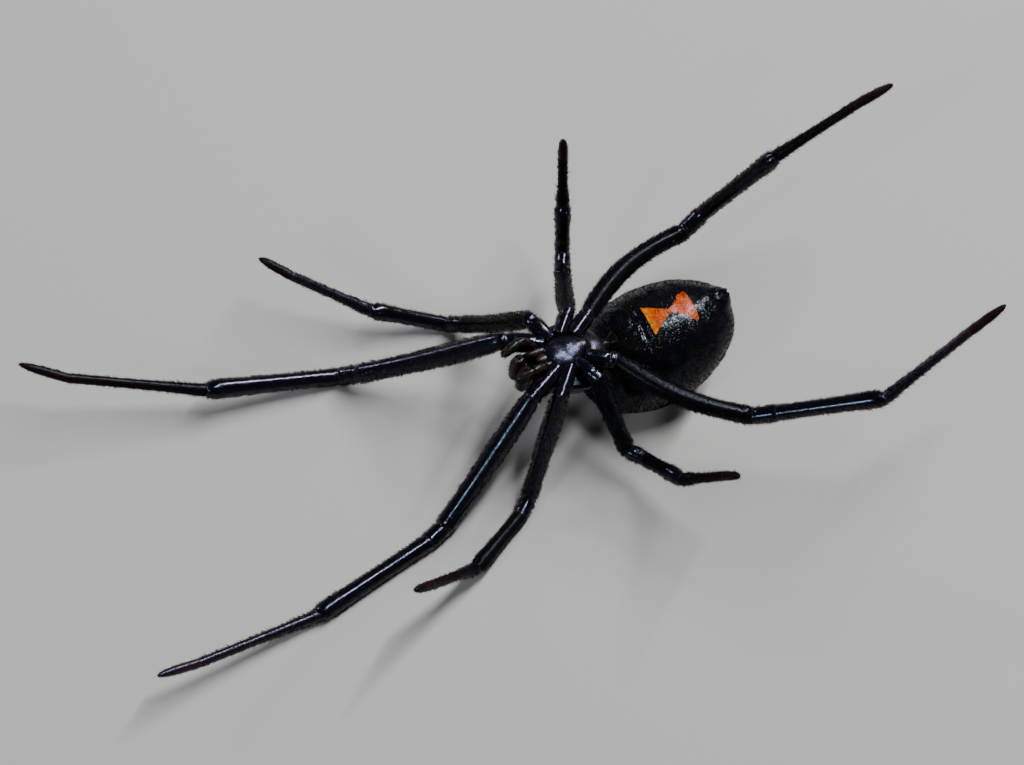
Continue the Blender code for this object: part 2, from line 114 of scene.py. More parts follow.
floor_mesh = bpy.data.meshes.new("floor")
half = FLOOR_SIZE / 2
floor_mesh.from_pydata([(-half, -half, 0), (half, -half, 0), (half, half, 0), (-half, half, 0)],
                       [], [(0, 1, 2, 3)])
floor = bpy.data.objects.new("floor", floor_mesh)
bpy.context.scene.collection.objects.link(floor)
floor_finish, tree, shader = new_finish("floor")
shader.inputs["Base Color"].default_value = FLOOR_GREY
shader.inputs["Roughness"].default_value = 0.9
shader.inputs["Specular IOR Level"].default_value = 0.1
floor_mesh.materials.append(floor_finish)
floor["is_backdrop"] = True

for name, way, along, distance, sides, power, colour in SOFT_BOXES:
    lamp = bpy.data.lights.new(name, "AREA")
    lamp.shape = "RECTANGLE"
    lamp.size, lamp.size_y = sides
    lamp.energy = power
    lamp.color = colour
    stand = bpy.data.objects.new(name, lamp)
    away = Vector(way).normalized()
    across = Vector(along).cross(away).normalized()
    turned = Matrix((across, away.cross(across), away)).transposed().to_4x4()
    stand.matrix_world = Matrix.Translation(away * distance) @ turned
    bpy.context.scene.collection.objects.link(stand)
world = bpy.data.worlds.new("studio")
world.use_nodes = True
sky = world.node_tree
up_way = sky.nodes.new("ShaderNodeTexCoord")
axes = sky.nodes.new("ShaderNodeSeparateXYZ")
glow = sky.nodes.new("ShaderNodeMapRange")
glow.interpolation_type = "SMOOTHSTEP"
for name, number in (("From Min", 0.15), ("From Max", 0.75),
                     ("To Min", HORIZON_GLOW), ("To Max", OVERHEAD_GLOW)):
    glow.inputs[name].default_value = number
sky.links.new(up_way.outputs["Generated"], axes.inputs["Vector"])
sky.links.new(axes.outputs["Z"], glow.inputs["Value"])
sky.links.new(glow.outputs["Result"], sky.nodes["Background"].inputs["Strength"])
sky.nodes["Background"].inputs["Color"].default_value = SKY_COLOUR
bpy.context.scene.world = world

# The back shield covers the head and the chest in one piece of hard, dark shell. It bears a pit
# in its middle, from which grooves run out to the legs and mark off the raised head.
CHEST = np.array((0.8, 3.39, 6.3))
SHIELD_RIM = -1.08
SHIELD_STATIONS = (
    (-2.3, 0.06, 0.06), (-2.28, 0.34, 0.3), (-2.22, 0.55, 0.5), (-1.95, 1.14, 0.92),
    (-1.2, 1.79, 1.36), (-0.4, 1.96, 1.58), (0.4, 1.77, 1.62), (1.0, 1.37, 1.68), (1.55, 1.05, 1.61),
    (1.86, 0.97, 1.26), (1.95, 0.87, 0.94), (1.985, 0.66, 0.72), (2.0, 0.3, 0.32), (2.0, 0.06, 0.06),
)
BACK_POINTS, UNDER_POINTS = 61, 20
PIT, PIT_DEPTH = (-0.55, 0.2), 0.2
HEAD_GROOVE_END, HEAD_GROOVE_DEPTH = (0.85, 1.42), 0.1
GROOVE_ENDS, GROOVE_DEPTH = ((0.1, 1.9), (-0.75, 2.0), (-1.6, 1.6)), 0.055

skin_points, skin_faces, skin_kinds = [], [], []
skin_foot, skin_soft, skin_rough = [], [], []
FLOOR_CLEARANCE = 0.004


def on_body(ahead, right, belly):
    """Points on the animal, from the middle of the chest plate."""
    ahead, right, belly = np.broadcast_arrays(ahead, right, belly)
    return np.stack((CHEST[0] + right, CHEST[1] - ahead, CHEST[2] + belly), axis=-1)


def unit(rows):
    """The same vectors, one long."""
    rows = np.asarray(rows, float)
    return rows / np.maximum(np.linalg.norm(rows, axis=-1, keepdims=True), 1e-9)


def smooth_through(stations, steps, before=None, after=None):
    """Fill in between stations with a curve that passes through each of them."""
    known = np.array(stations, float)
    first = known[0] if before is None else before
    last = known[-1] if after is None else after
    padded = np.vstack((first, known, last))
    share = np.linspace(0.0, 1.0, steps, endpoint=False)[:, None]
    rows = [0.5 * (2 * b + (c - a) * share + (2 * a - 5 * b + 4 * c - d) * share ** 2
                   + (3 * b - a - 3 * c + d) * share ** 3)
            for a, b, c, d in zip(padded, padded[1:], padded[2:], padded[3:])]
    return np.vstack(rows + [known[-1:]])


def bell(distance, width):
    """One at no distance, falling smoothly to nothing past the width."""
    return np.exp(-(np.asarray(distance, float) / width) ** 2)


def from_line(ahead, right, start, end):
    """How far points are from a line, and how far along it they lie, from 0 to 1."""
    way = np.subtract(end, start)
    share = ((ahead - start[0]) * way[0] + (right - start[1]) * way[1]) / (way @ way)
    share = np.clip(share, 0.0, 1.0)
    return np.hypot(ahead - start[0] - way[0] * share, right - start[1] - way[1] * share), share


def roughen(points, size, depth, seed):
    """Small smooth bumps over a surface, as an offset for each point."""
    shift = Vector((seed * 7.3, seed * 3.1, seed * 5.7))
    flat = points.reshape(-1, 3)
    lumps = np.array([noise.noise(Vector(point) / size + shift) for point in flat])
    return (lumps * depth).reshape(points.shape[:-1])


def closed_surface(grid, base=0):
    """Points and faces of a surface made of rings in turn, with each end closed to its middle."""
    count, sides = grid.shape[:2]
    points = list(map(tuple, grid.reshape(-1, 3)))
    points += [tuple(grid[0].mean(axis=0)), tuple(grid[-1].mean(axis=0))]
    start, end = base + count * sides, base + count * sides + 1
    faces = []
    for here in range(base, base + (count - 1) * sides, sides):
        for side in range(sides):
            follow = (side + 1) % sides
            faces.append((here + side, here + follow, here + sides + follow, here + sides + side))
    last = base + (count - 1) * sides
    for side in range(sides):
        follow = (side + 1) % sides
        faces.append((base + follow, base + side, start))
        faces.append((last + side, last + follow, end))
    return points, faces


def add_surface(grid, kind, foot=0.0, soft=0.0, rough=0.0):
    """Add a closed surface to the skin, of one kind or one for each ring, and how worn it is."""
    grid[..., 2] = np.maximum(grid[..., 2], FLOOR_CLEARANCE)
    points, faces = closed_surface(grid, len(skin_points))
    skin_points.extend(points)
    skin_faces.extend(faces)
    if isinstance(kind, str):
        kind = [kind] * len(grid)
    sides = grid.shape[1]
    skin_kinds.extend([each for each in kind[:-1] for _ in range(sides)])
    skin_kinds.extend([kind[0], kind[-1]] * sides)
    for values, store in ((foot, skin_foot), (soft, skin_soft), (rough, skin_rough)):
        spread = np.broadcast_to(np.asarray(values, float), grid.shape[:2])
        store.extend(spread.ravel())
        store.extend((float(spread[0].mean()), float(spread[-1].mean())))
    return grid


def shield_grid():
    """The shield's rings: the arched back, and its slightly hollow underside."""
    stations = smooth_through(SHIELD_STATIONS, 8)
    arc = np.linspace(0.0, math.pi, BACK_POINTS)
    under = np.linspace(0.0, 1.0, UNDER_POINTS + 2)[1:-1]
    ahead, width, crown = (column[:, None] for column in stations.T)
    right = width * np.cos(arc)
    rise = np.maximum(np.sin(arc), 0.0) ** 0.9
    sunk = PIT_DEPTH * bell(np.hypot((ahead - PIT[0]) / 0.3, right / PIT[1]), 1.0)
    for side in (-1.0, 1.0):
        away, share = from_line(ahead, right, (PIT[0] + 0.15, 0.0),
                                (HEAD_GROOVE_END[0], side * HEAD_GROOVE_END[1]))
        sunk = sunk + HEAD_GROOVE_DEPTH * bell(away, 0.13) * (1.0 - 0.6 * share)
        for end in GROOVE_ENDS:
            away, share = from_line(ahead, right, (PIT[0], 0.0), (end[0], side * end[1]))
            sunk = sunk + GROOVE_DEPTH * bell(away, 0.12) * np.sin(math.pi * np.clip(share, 0.05, 0.9))
    rim = 0.035 * bell(np.minimum(arc, math.pi - arc) - 0.12, 0.05)
    belly = SHIELD_RIM - crown * rise + sunk * rise - rim
    back = on_body(ahead, right, belly)
    inward = width * (1.0 - 2.0 * under) * -0.985
    hollow = SHIELD_RIM + 0.45 * np.sin(math.pi * under) * np.minimum(width / 1.5, 1.0)
    below = on_body(ahead, inward, hollow)
    grid = np.concatenate((back, below), axis=1)
    domed = slice(1, BACK_POINTS - 1)
    grid[:, domed, 2] += roughen(grid[:, domed], 0.22, 0.012, 1)
    return grid


under_side = np.concatenate((np.zeros(BACK_POINTS), np.ones(UNDER_POINTS)))
shield = add_surface(shield_grid(), "shell", soft=under_side)

# The chest plate is a small, gently domed, heart-shaped shell between the roots of the legs, with
# a notch at each root. The softer flank under it carries the legs.
FLANK_STATIONS = (
    (-1.36, 1.44, 1.15), (-0.62, 1.46, 1.17), (-0.42, 1.4, 1.11), (-0.3, 1.26, 0.98),
    (-0.26, 1.0, 0.78), (-0.25, 0.5, 0.4),
)
PLATE_SIZE = (1.2, 0.95)
ROOT_ANGLES = (39.0, 69.0, 109.0, 142.0)
PLATE_PROFILE = (
    (1.02, -0.3), (1.0, -0.2), (0.96, -0.13), (0.88, -0.075), (0.7, -0.02), (0.5, 0.015),
    (0.3, 0.035), (0.12, 0.045), (0.02, 0.045),
)
PLATE_ARCH, PLATE_ROUGHNESS = 0.14, 0.45
FLANK_SOFTNESS = 0.7


def heart(angle, length, width):
    """The chest's outline, ahead and right of its middle."""
    across = width * (0.84 + 0.16 * np.cos(angle)) / 0.86
    return length * np.cos(angle), across * np.sin(angle)


angles = np.linspace(0.0, 2.0 * math.pi, 72, endpoint=False)
stations = smooth_through(FLANK_STATIONS, 5)
belly, length, width = (column[:, None] for column in stations.T)
ahead, right = heart(angles, length, width)
flank = on_body(ahead, right, belly)
flank[..., 2] += roughen(flank, 0.18, 0.03, 2)
add_surface(flank, "thigh", soft=FLANK_SOFTNESS)

folded = np.degrees(np.abs(np.where(angles > math.pi, angles - 2.0 * math.pi, angles)))
notch = sum(bell(folded - root, 9.0) for root in ROOT_ANGLES)
share, belly = (column[:, None] for column in smooth_through(PLATE_PROFILE, 4).T)
ahead, right = heart(angles, PLATE_SIZE[0], PLATE_SIZE[1])
reach = share * (1.0 - 0.06 * notch * share ** 4)
plate = on_body(ahead * reach, right * reach, belly)
plate[..., 2] -= PLATE_ARCH * (right * reach / PLATE_SIZE[1]) ** 2
plate[..., 2] += roughen(plate, 0.5, 0.04, 3) + roughen(plate, 0.2, 0.008, 4)
middle_soft = 0.3 * (1.0 - bell(ahead * reach - 1.0, 0.35))
plate = add_surface(plate, "shell", soft=middle_soft, rough=PLATE_ROUGHNESS)

# The lower lip and the two mouth lobes beside it close the mouth from below. They are brown shell
# with rounded ends, and the lobes reach out past the lip.
LIP = ((-0.1, 0.25, 0.14), (0.15, 0.255, 0.16), (0.35, 0.225, 0.15), (0.5, 0.16, 0.12),
       (0.58, 0.04, 0.04))
LOBE = ((-0.1, 0.2, 0.2), (0.1, 0.225, 0.225), (0.35, 0.245, 0.225), (0.6, 0.225, 0.195),
        (0.8, 0.18, 0.15), (0.9, 0.11, 0.1), (0.935, 0.02, 0.02))
LIP_ROOT, LOBE_ROOT = (1.06, 0.0, -0.28), (1.05, 0.43, -0.36)
LOBE_SPLAY, LOBE_LIFT = 0.06, 0.14
SIDES = {"left": -1.0, "right": 1.0}
HEADWARD = np.array((0.0, -1.0, 0.0))
RIGHTWARD = np.array((1.0, 0.0, 0.0))
BELLYWARD = np.array((0.0, 0.0, 1.0))


def oval_rings(centres, along, beside, widths, depths, sides):
    """Oval rings across a limb, each with its width toward the side given."""
    centres, along = np.atleast_2d(centres), np.atleast_2d(along)
    across = unit(beside - along * (along @ beside)[:, None])
    upward = np.cross(along, across)
    turn = np.linspace(0.0, 2.0 * math.pi, sides, endpoint=False)
    widths = np.broadcast_to(widths, len(centres))[:, None, None]
    depths = np.broadcast_to(depths, len(centres))[:, None, None]
    return (centres[:, None] + across[:, None] * (widths * np.cos(turn)[:, None])
            + upward[:, None] * (depths * np.sin(turn)[:, None]))


def straight_limb(root, along, stations, sides, steps=5):
    """A limb that runs straight from its root, as rings."""
    place, width, depth = smooth_through(stations, steps).T
    centres = root + along * place[:, None]
    return oval_rings(centres, np.tile(along, (len(place), 1)), RIGHTWARD, width, depth, sides)


add_surface(straight_limb(on_body(*LIP_ROOT), HEADWARD, LIP, 24), "jaw")
lobes = []
for side in SIDES.values():
    lean = unit(np.array((side * LOBE_SPLAY, -1.0, LOBE_LIFT)))
    root = on_body(LOBE_ROOT[0], side * LOBE_ROOT[1], LOBE_ROOT[2])
    lobes.append(add_surface(straight_limb(root, lean, LOBE, 24), "jaw"))

# The feelers are two short limbs beside the jaws, each in three parts of brown shell. The last
# part is the longest and narrows to its end.
PALP_ROOT = (1.62, 0.7, 0.2)
PALP_RADIUS = 0.24
PALP_SEGMENTS = (0.52, 0.45, 1.02)
PALP_POSE = {
    "left": ((24, 40), (-2, 8), (-14, -13)),
    "right": ((24, 40), (6, 6), (2, -15)),
}
PALP_PROFILES = (
    ((0.0, 0.66), (0.12, 0.84), (0.3, 0.92), (0.45, 0.84), (0.52, 0.72)),
    ((0.0, 0.72), (0.1, 0.9), (0.26, 0.98), (0.38, 0.9), (0.45, 0.74)),
    ((0.0, 0.74), (0.12, 0.95), (0.35, 1.02), (0.65, 1.0), (0.85, 0.82), (0.96, 0.5), (1.0, 0.2),
     (1.02, 0.03)),
)


def heading(swing, lift, side):
    """The way that a limb points."""
    turn, rise = math.radians(swing), math.radians(lift)
    flat = math.cos(rise)
    return np.array((side * math.sin(turn) * flat, -math.cos(turn) * flat, math.sin(rise)))


def steady(places, xs, ys):
    """A smooth curve through points, which doesn't overshoot between them."""
    xs, ys = np.array(xs, float), np.array(ys, float)
    slopes = np.diff(ys) / np.diff(xs)
    tangents = np.concatenate((slopes[:1], (slopes[:-1] + slopes[1:]) / 2.0, slopes[-1:]))
    tangents[1:-1][slopes[:-1] * slopes[1:] <= 0.0] = 0.0
    index = np.clip(np.searchsorted(xs, places, side="right") - 1, 0, len(xs) - 2)
    step = xs[index + 1] - xs[index]
    share = (places - xs[index]) / step
    return ((2 * share ** 3 - 3 * share ** 2 + 1) * ys[index]
            + (share ** 3 - 2 * share ** 2 + share) * step * tangents[index]
            + (3 * share ** 2 - 2 * share ** 3) * ys[index + 1]
            + (share ** 3 - share ** 2) * step * tangents[index + 1])


def along_segment(length, fine=0.03, coarse=0.12, fine_zone=0.5):
    """Places along a segment, closer together near its joints."""
    near = []
    place = 0.0
    while place < min(fine_zone, length * 0.45):
        near.append(place)
        place += fine + 0.12 * place
    count = max(3, int((length - 2 * near[-1]) / coarse) + 1)
    middle = np.linspace(near[-1], length - near[-1], count)
    return np.concatenate((near, middle[1:-1], length - np.array(near[::-1])))


def limb_segment(start, end, places, radii, facing_in, facing_out, beside, bow, sides):
    """Rings along one segment, which lean into the planes of its joints near its ends."""
    length = np.linalg.norm(end - start)
    along = (end - start) / length
    bend = bow - along * (bow @ along)
    turn = (math.pi * places / length)[:, None]
    centres = start + along * places[:, None] + bend * np.sin(turn)
    lean = unit(along + bend * (math.pi / length) * np.cos(turn))
    reach = min(0.5, length * 0.45)
    at_start = np.clip(1.0 - places / reach, 0.0, 1.0)[:, None]
    at_end = np.clip(1.0 - (length - places) / reach, 0.0, 1.0)[:, None]
    facing = unit(lean + (facing_in - lean) * at_start + (facing_out - lean) * at_end)
    rings = oval_rings(centres, lean, beside, radii, radii, sides)
    slope = (facing * lean).sum(axis=1)
    tilt = ((rings - centres[:, None]) * facing[:, None]).sum(axis=2) / slope[:, None]
    return rings - lean[:, None] * tilt[..., None]


palps = []
for side_name, side in SIDES.items():
    place = on_body(PALP_ROOT[0], side * PALP_ROOT[1], PALP_ROOT[2])
    ways = [heading(swing, lift, side) for swing, lift in PALP_POSE[side_name]]
    beside = np.cross(ways[0], BELLYWARD)
    root = place - ways[0] * 0.3
    rings = [oval_rings(root, ways[0], beside, PALP_RADIUS * 0.5, PALP_RADIUS * 0.5, 24)]
    facings = [ways[0], unit(ways[0] + ways[1]), unit(ways[1] + ways[2]), ways[2]]
    for index, (way, length) in enumerate(zip(ways, PALP_SEGMENTS)):
        steps = along_segment(length, fine=0.025, coarse=0.05, fine_zone=0.2)
        radii = steady(steps, *zip(*PALP_PROFILES[index])) * PALP_RADIUS
        grid = limb_segment(place, place + way * length, steps, radii, facings[index],
                            facings[index + 1], beside, np.zeros(3), 24)
        rings.append(grid[(0 if index == 0 else 1):])
        place = place + way * length
    palps.append(add_surface(np.concatenate(rings), "jaw", foot=0.6))

# The narrow waist joins the shield to the abdomen, which is a globe of tough, shiny hide. Its
# belly side bears the lung covers, the womb plate over a cross furrow, and the orange hourglass.
WAIST_START, WAIST_GAP = -2.25, 0.14
WAIST = ((-0.3, 0.34, 0.28), (0.0, 0.3, 0.24), (0.1, 0.27, 0.22), (0.22, 0.29, 0.25),
         (0.36, 0.38, 0.34), (0.55, 0.55, 0.5))
ABDOMEN_NOSE = (-1.52, 0.0, 0.0, -4.25)
ABDOMEN_TAIL = (-9.56, 0.0, 0.0, -2.05)
ABDOMEN_STATIONS = (
    (-1.7, 1.0, -3.35, -5.0), (-2.3, 2.0, -1.95, -5.75), (-3.3, 2.65, -0.95, -6.2),
    (-4.6, 2.95, -0.42, -6.4), (-5.8, 2.98, -0.25, -6.3), (-7.0, 2.75, -0.28, -5.75),
    (-8.1, 2.3, -0.48, -4.9), (-8.95, 1.65, -0.88, -3.95), (-9.4, 0.95, -1.35, -3.0),
)
FURROW_AHEAD = -4.28
WOMB_PLATE = (-4.0, 0.08, 0.26, 0.4)
LUNG_COVER = (-3.45, 1.35, 0.55, 0.62)
BACK_DIMPLES = ((-3.9, 0.7), (-5.4, 0.85), (-6.7, 0.6))
FURROW_DEPTH, FURROW_LIP, FOLD_DEPTH, DIMPLE_DEPTH = 0.075, 0.03, 0.008, 0.07
WOMB_RISE, COVER_RISE, SEAT_RISE = 0.13, 0.05, 0.16
SPINNERET_SEAT = on_body(-8.87, 0.0, -0.82)


def ellipse_reach(ahead, right, spot):
    """How far points are from the middle of an oval spot, 1 at its edge."""
    return np.hypot((ahead - spot[0]) / spot[2], (right - spot[1]) / spot[3])


def abdomen_grid():
    """The abdomen's rings, with what its hide bears pressed into them."""
    rows = [(a, w, (belly - back) / 2, (belly + back) / 2) for a, w, belly, back in ABDOMEN_STATIONS]
    rows = [ABDOMEN_NOSE] + rows + [ABDOMEN_TAIL]
    mirrored = [np.array(rows[at]) * (1.0, -1.0, -1.0, 1.0) for at in (1, -2)]
    ahead, width, height, middle = (
        column[:, None] for column in smooth_through(rows, 12, mirrored[0], mirrored[1])[1:-1].T)
    turn = np.linspace(0.0, 2.0 * math.pi, 144, endpoint=False)
    right, rise = np.cos(turn), np.sin(turn)
    across = width * right * 0.995
    grid = on_body(ahead, across, middle + height * rise * 0.995)
    outward = np.broadcast_arrays(right / width, ahead * 0.0, rise / height)
    outward = unit(np.stack(outward, axis=-1))
    belly_side = np.clip(rise * 2.5, 0.0, 1.0)
    back_side = np.clip(-rise * 2.5, 0.0, 1.0)
    line = FURROW_AHEAD + 0.09 * (across / 1.4) ** 2
    fade = 1.0 / (1.0 + np.exp((np.abs(across) - 1.75) / 0.12))
    lift = -FURROW_DEPTH * bell(ahead - line, 0.07) * fade
    lift = lift + FURROW_LIP * bell(ahead - line - 0.17, 0.11) * fade
    plate = ellipse_reach(ahead, across, WOMB_PLATE)
    lift = lift + WOMB_RISE * bell(plate, 0.85) - 0.09 * bell(plate, 0.28)
    lift = lift - 0.03 * bell(plate - 1.25, 0.2)
    for side in SIDES.values():
        cover = ellipse_reach(ahead, across * side, LUNG_COVER)
        lift = lift + COVER_RISE * bell(cover, 0.8) - 0.03 * bell(cover - 1.1, 0.14)
    folds = np.sin((ahead + 0.05 * np.sin(across * 5.0)) * 26.0) * FOLD_DEPTH
    lift = lift + folds * bell(ahead + 3.2, 0.7) * bell(across, 1.4)
    lift = lift * belly_side
    for spot_ahead, spot_right in BACK_DIMPLES:
        for side in SIDES.values():
            hole = np.hypot(ahead - spot_ahead, across - side * spot_right)
            lift = lift - DIMPLE_DEPTH * bell(hole, 0.13) * back_side
    from_seat = np.linalg.norm(grid - SPINNERET_SEAT, axis=-1)
    lift = lift + SEAT_RISE * bell(from_seat, 0.95)
    lift = lift + roughen(grid, 0.7, 0.05, 5) + roughen(grid, 0.22, 0.012, 6)
    return grid + outward * lift[..., None]


waist_root = on_body(WAIST_START - WAIST_GAP, 0.0, SHIELD_RIM - WAIST_GAP)
add_surface(straight_limb(waist_root, -HEADWARD, WAIST, 24, steps=8), "thigh", soft=FLANK_SOFTNESS)
abdomen = add_surface(abdomen_grid(), "abdomen")

# The spinnerets are three pairs of short blunt cones on a low ring at the end of the belly, with
# a small soft cone behind them.
SPINNERET_WAY = unit(np.array((0.0, 0.5, 0.85)))
SPINNERET_RING = ((-0.3, 0.9, 0.84), (-0.1, 0.82, 0.78), (0.08, 0.7, 0.68), (0.2, 0.6, 0.58),
                  (0.3, 0.48, 0.47), (0.34, 0.34, 0.34), (0.34, 0.1, 0.1))
SPINNERETS = ((0.2, 0.17, 0.34, 0.16), (0.0, 0.24, 0.24, 0.1), (-0.2, 0.17, 0.3, 0.13))
TUBERCLE = (-0.42, 0.0, 0.2, 0.15)
CONE_ROOT, CONE_LEAN_IN, CONE_LEAN_BACK = 0.2, 0.12, 0.6
SPINNERET_TAPER = ((0.3, 1.0), (0.5, 0.78), (0.56, 0.84), (0.9, 0.55), (1.0, 0.3), (1.01, 0.05))

add_surface(straight_limb(SPINNERET_SEAT, SPINNERET_WAY, SPINNERET_RING, 36), "abdomen", soft=0.3)
forward = np.cross(SPINNERET_WAY, RIGHTWARD)
for ahead, out, length, radius in SPINNERETS + (TUBERCLE,):
    for side in (SIDES.values() if out else (0.0,)):
        root = (SPINNERET_SEAT + SPINNERET_WAY * CONE_ROOT + forward * ahead
                + RIGHTWARD * (side * out))
        along = unit(SPINNERET_WAY - RIGHTWARD * (side * CONE_LEAN_IN)
                     - forward * (ahead * CONE_LEAN_BACK))
        profile = [(-0.1, radius, radius)]
        for share, size in SPINNERET_TAPER:
            profile.append((share * length, radius * size, radius * size))
        add_surface(straight_limb(root, along, profile, 20), "abdomen", soft=0.6)

# Each of the eight legs is one tube of shell in seven parts: coxa, trochanter, femur, patella,
# tibia, metatarsus and tarsus. A narrow neck of softer skin joins each part to the next.
SEGMENTS = {
    1: (8.1, 1.15, 7.3, 7.3, 2.6),
    2: (6.2, 1.05, 4.3, 4.5, 1.9),
    3: (4.5, 0.9, 2.8, 3.0, 1.4),
    4: (7.4, 1.3, 5.6, 5.3, 2.3),
}
THIGH_RADIUS = {1: 0.54, 2: 0.47, 3: 0.45, 4: 0.5}
COXA_ROOT = {1: (1.22, 0.98), 2: (0.48, 1.24), 3: (-0.42, 1.22), 4: (-1.12, 0.88)}
COXA_END = {
    "left": {1: (2.87, 1.82), 2: (0.85, 2.4), 3: (-1.15, 1.97), 4: (-2.1, 1.5)},
    "right": {1: (2.87, 1.82), 2: (1.45, 2.28), 3: (-0.75, 2.05), 4: (-2.1, 1.5)},
}
COXA_DEPTH = -0.35
COXA_SUNK = 0.4
FOOT_RADIUS = 0.245
FEMUR_BOW = {1: 0.02, 2: 0.03, 3: 0.04, 4: 0.08}
BOW_WAY = {1: (0.0, 0.0, -1.0), 2: (0.0, 0.0, -1.0), 3: (0.0, 0.0, -1.0), 4: (0.5, 0.85, 0.0)}
POSE = {
    (1, "left"): ((33, -37), (40, -36), (10, 10), (21, 12), (34, 12)),
    (2, "left"): ((72, -53), (52, -38), (23, 18), (36, 22), (48, 14)),
    (3, "left"): ((118, -28), (117, 4), (106, 59), (96, 71), (62, 82)),
    (4, "left"): ((159, -3), (166, 27), (194, 55), (193, 46), (199, 46)),
    (1, "right"): ((23, -43), (21, -2), (13, 0), (6, 10), (4, 15)),
    (2, "right"): ((44, -62), (40, -6), (30, 7), (20, 35), (19, 37)),
    (3, "right"): ((109, -52), (127, -3), (107, 24), (123, 47), (109, 51)),
    (4, "right"): ((134, -5), (150, 24), (151, 24), (187, 27), (183, 31)),
}
LEG_SIDES = 28
LEG_NECKS, FOOT_NECKS = (0.8, 0.78, 0.83, 0.81), (1.27, 0.95)

# Each part's thickness, as shares of the thigh's or the foot's, at places along the part that
# are counted in mm from its start, and below nothing from its end, or as shares of its length.
FEMUR_PROFILE = ((0.12, 0.84), (0.28, 0.88), (0.55, 0.92), ("share", 0.2, 0.98), ("share", 0.36, 1.0),
                 ("share", 0.52, 0.96), ("share", 0.68, 0.91), ("share", 0.82, 0.9), (-0.7, 0.92),
                 (-0.4, 0.95), (-0.22, 0.92), (-0.1, 0.86))
PATELLA_PROFILE = ((0.12, 0.84), (0.28, 0.88), ("share", 0.45, 0.87), ("share", 0.66, 0.87),
                   (-0.26, 0.88), (-0.13, 0.86), (-0.06, 0.83))
TIBIA_PROFILE = ((0.1, 0.81), (0.24, 0.82), (0.55, 0.8), ("share", 0.25, 0.78), ("share", 0.5, 0.8),
                 ("share", 0.74, 0.86), (-0.8, 0.91), (-0.5, 0.9), (-0.25, 0.8), (-0.1, 0.7))
METATARSUS_PROFILE = ((0.1, 1.32), (0.25, 1.33), (0.6, 1.24), ("share", 0.26, 1.1),
                      ("share", 0.42, 1.02), ("share", 0.7, 0.98), (-0.3, 0.99), (-0.14, 0.99),
                      (-0.06, 0.97))
TARSUS_PROFILE = ((0.06, 0.96), (0.16, 0.99), ("share", 0.3, 0.97), ("share", 0.6, 0.9),
                  ("share", 0.82, 0.7), ("share", 0.93, 0.46), ("share", 0.985, 0.2),
                  ("share", 1.0, 0.03))

# The shell is smooth at the knees and rougher along the thighs and feet. Some parts, counted from
# the coxa as 0, are dull and dark, because their hair hides the gloss.
THIGH_ROUGHNESS = {1: 0.35, 2: 0.5, 3: 0.9, 4: 0.8}
SHIN_ROUGHNESS = {(2, "right"): 0.9}
METATARSUS_ROUGHNESS, TARSUS_ROUGHNESS = 0.6, 0.8
DULL_PARTS = {
    (1, "left"): (4, 5), (2, "left"): (1, 5), (2, "right"): (3, 4, 5), (3, "left"): (1, 4, 5),
    (3, "right"): (1, 4, 5), (4, "left"): (1, 4, 5), (4, "right"): (1, 5),
}


def profile_points(profile, length, thick):
    """A profile's places and radii in mm, in order."""
    points = []
    for entry in profile:
        place = entry[1] * length if entry[0] == "share" else entry[0] % length
        points.append((place, entry[-1] * thick))
    return sorted(points)


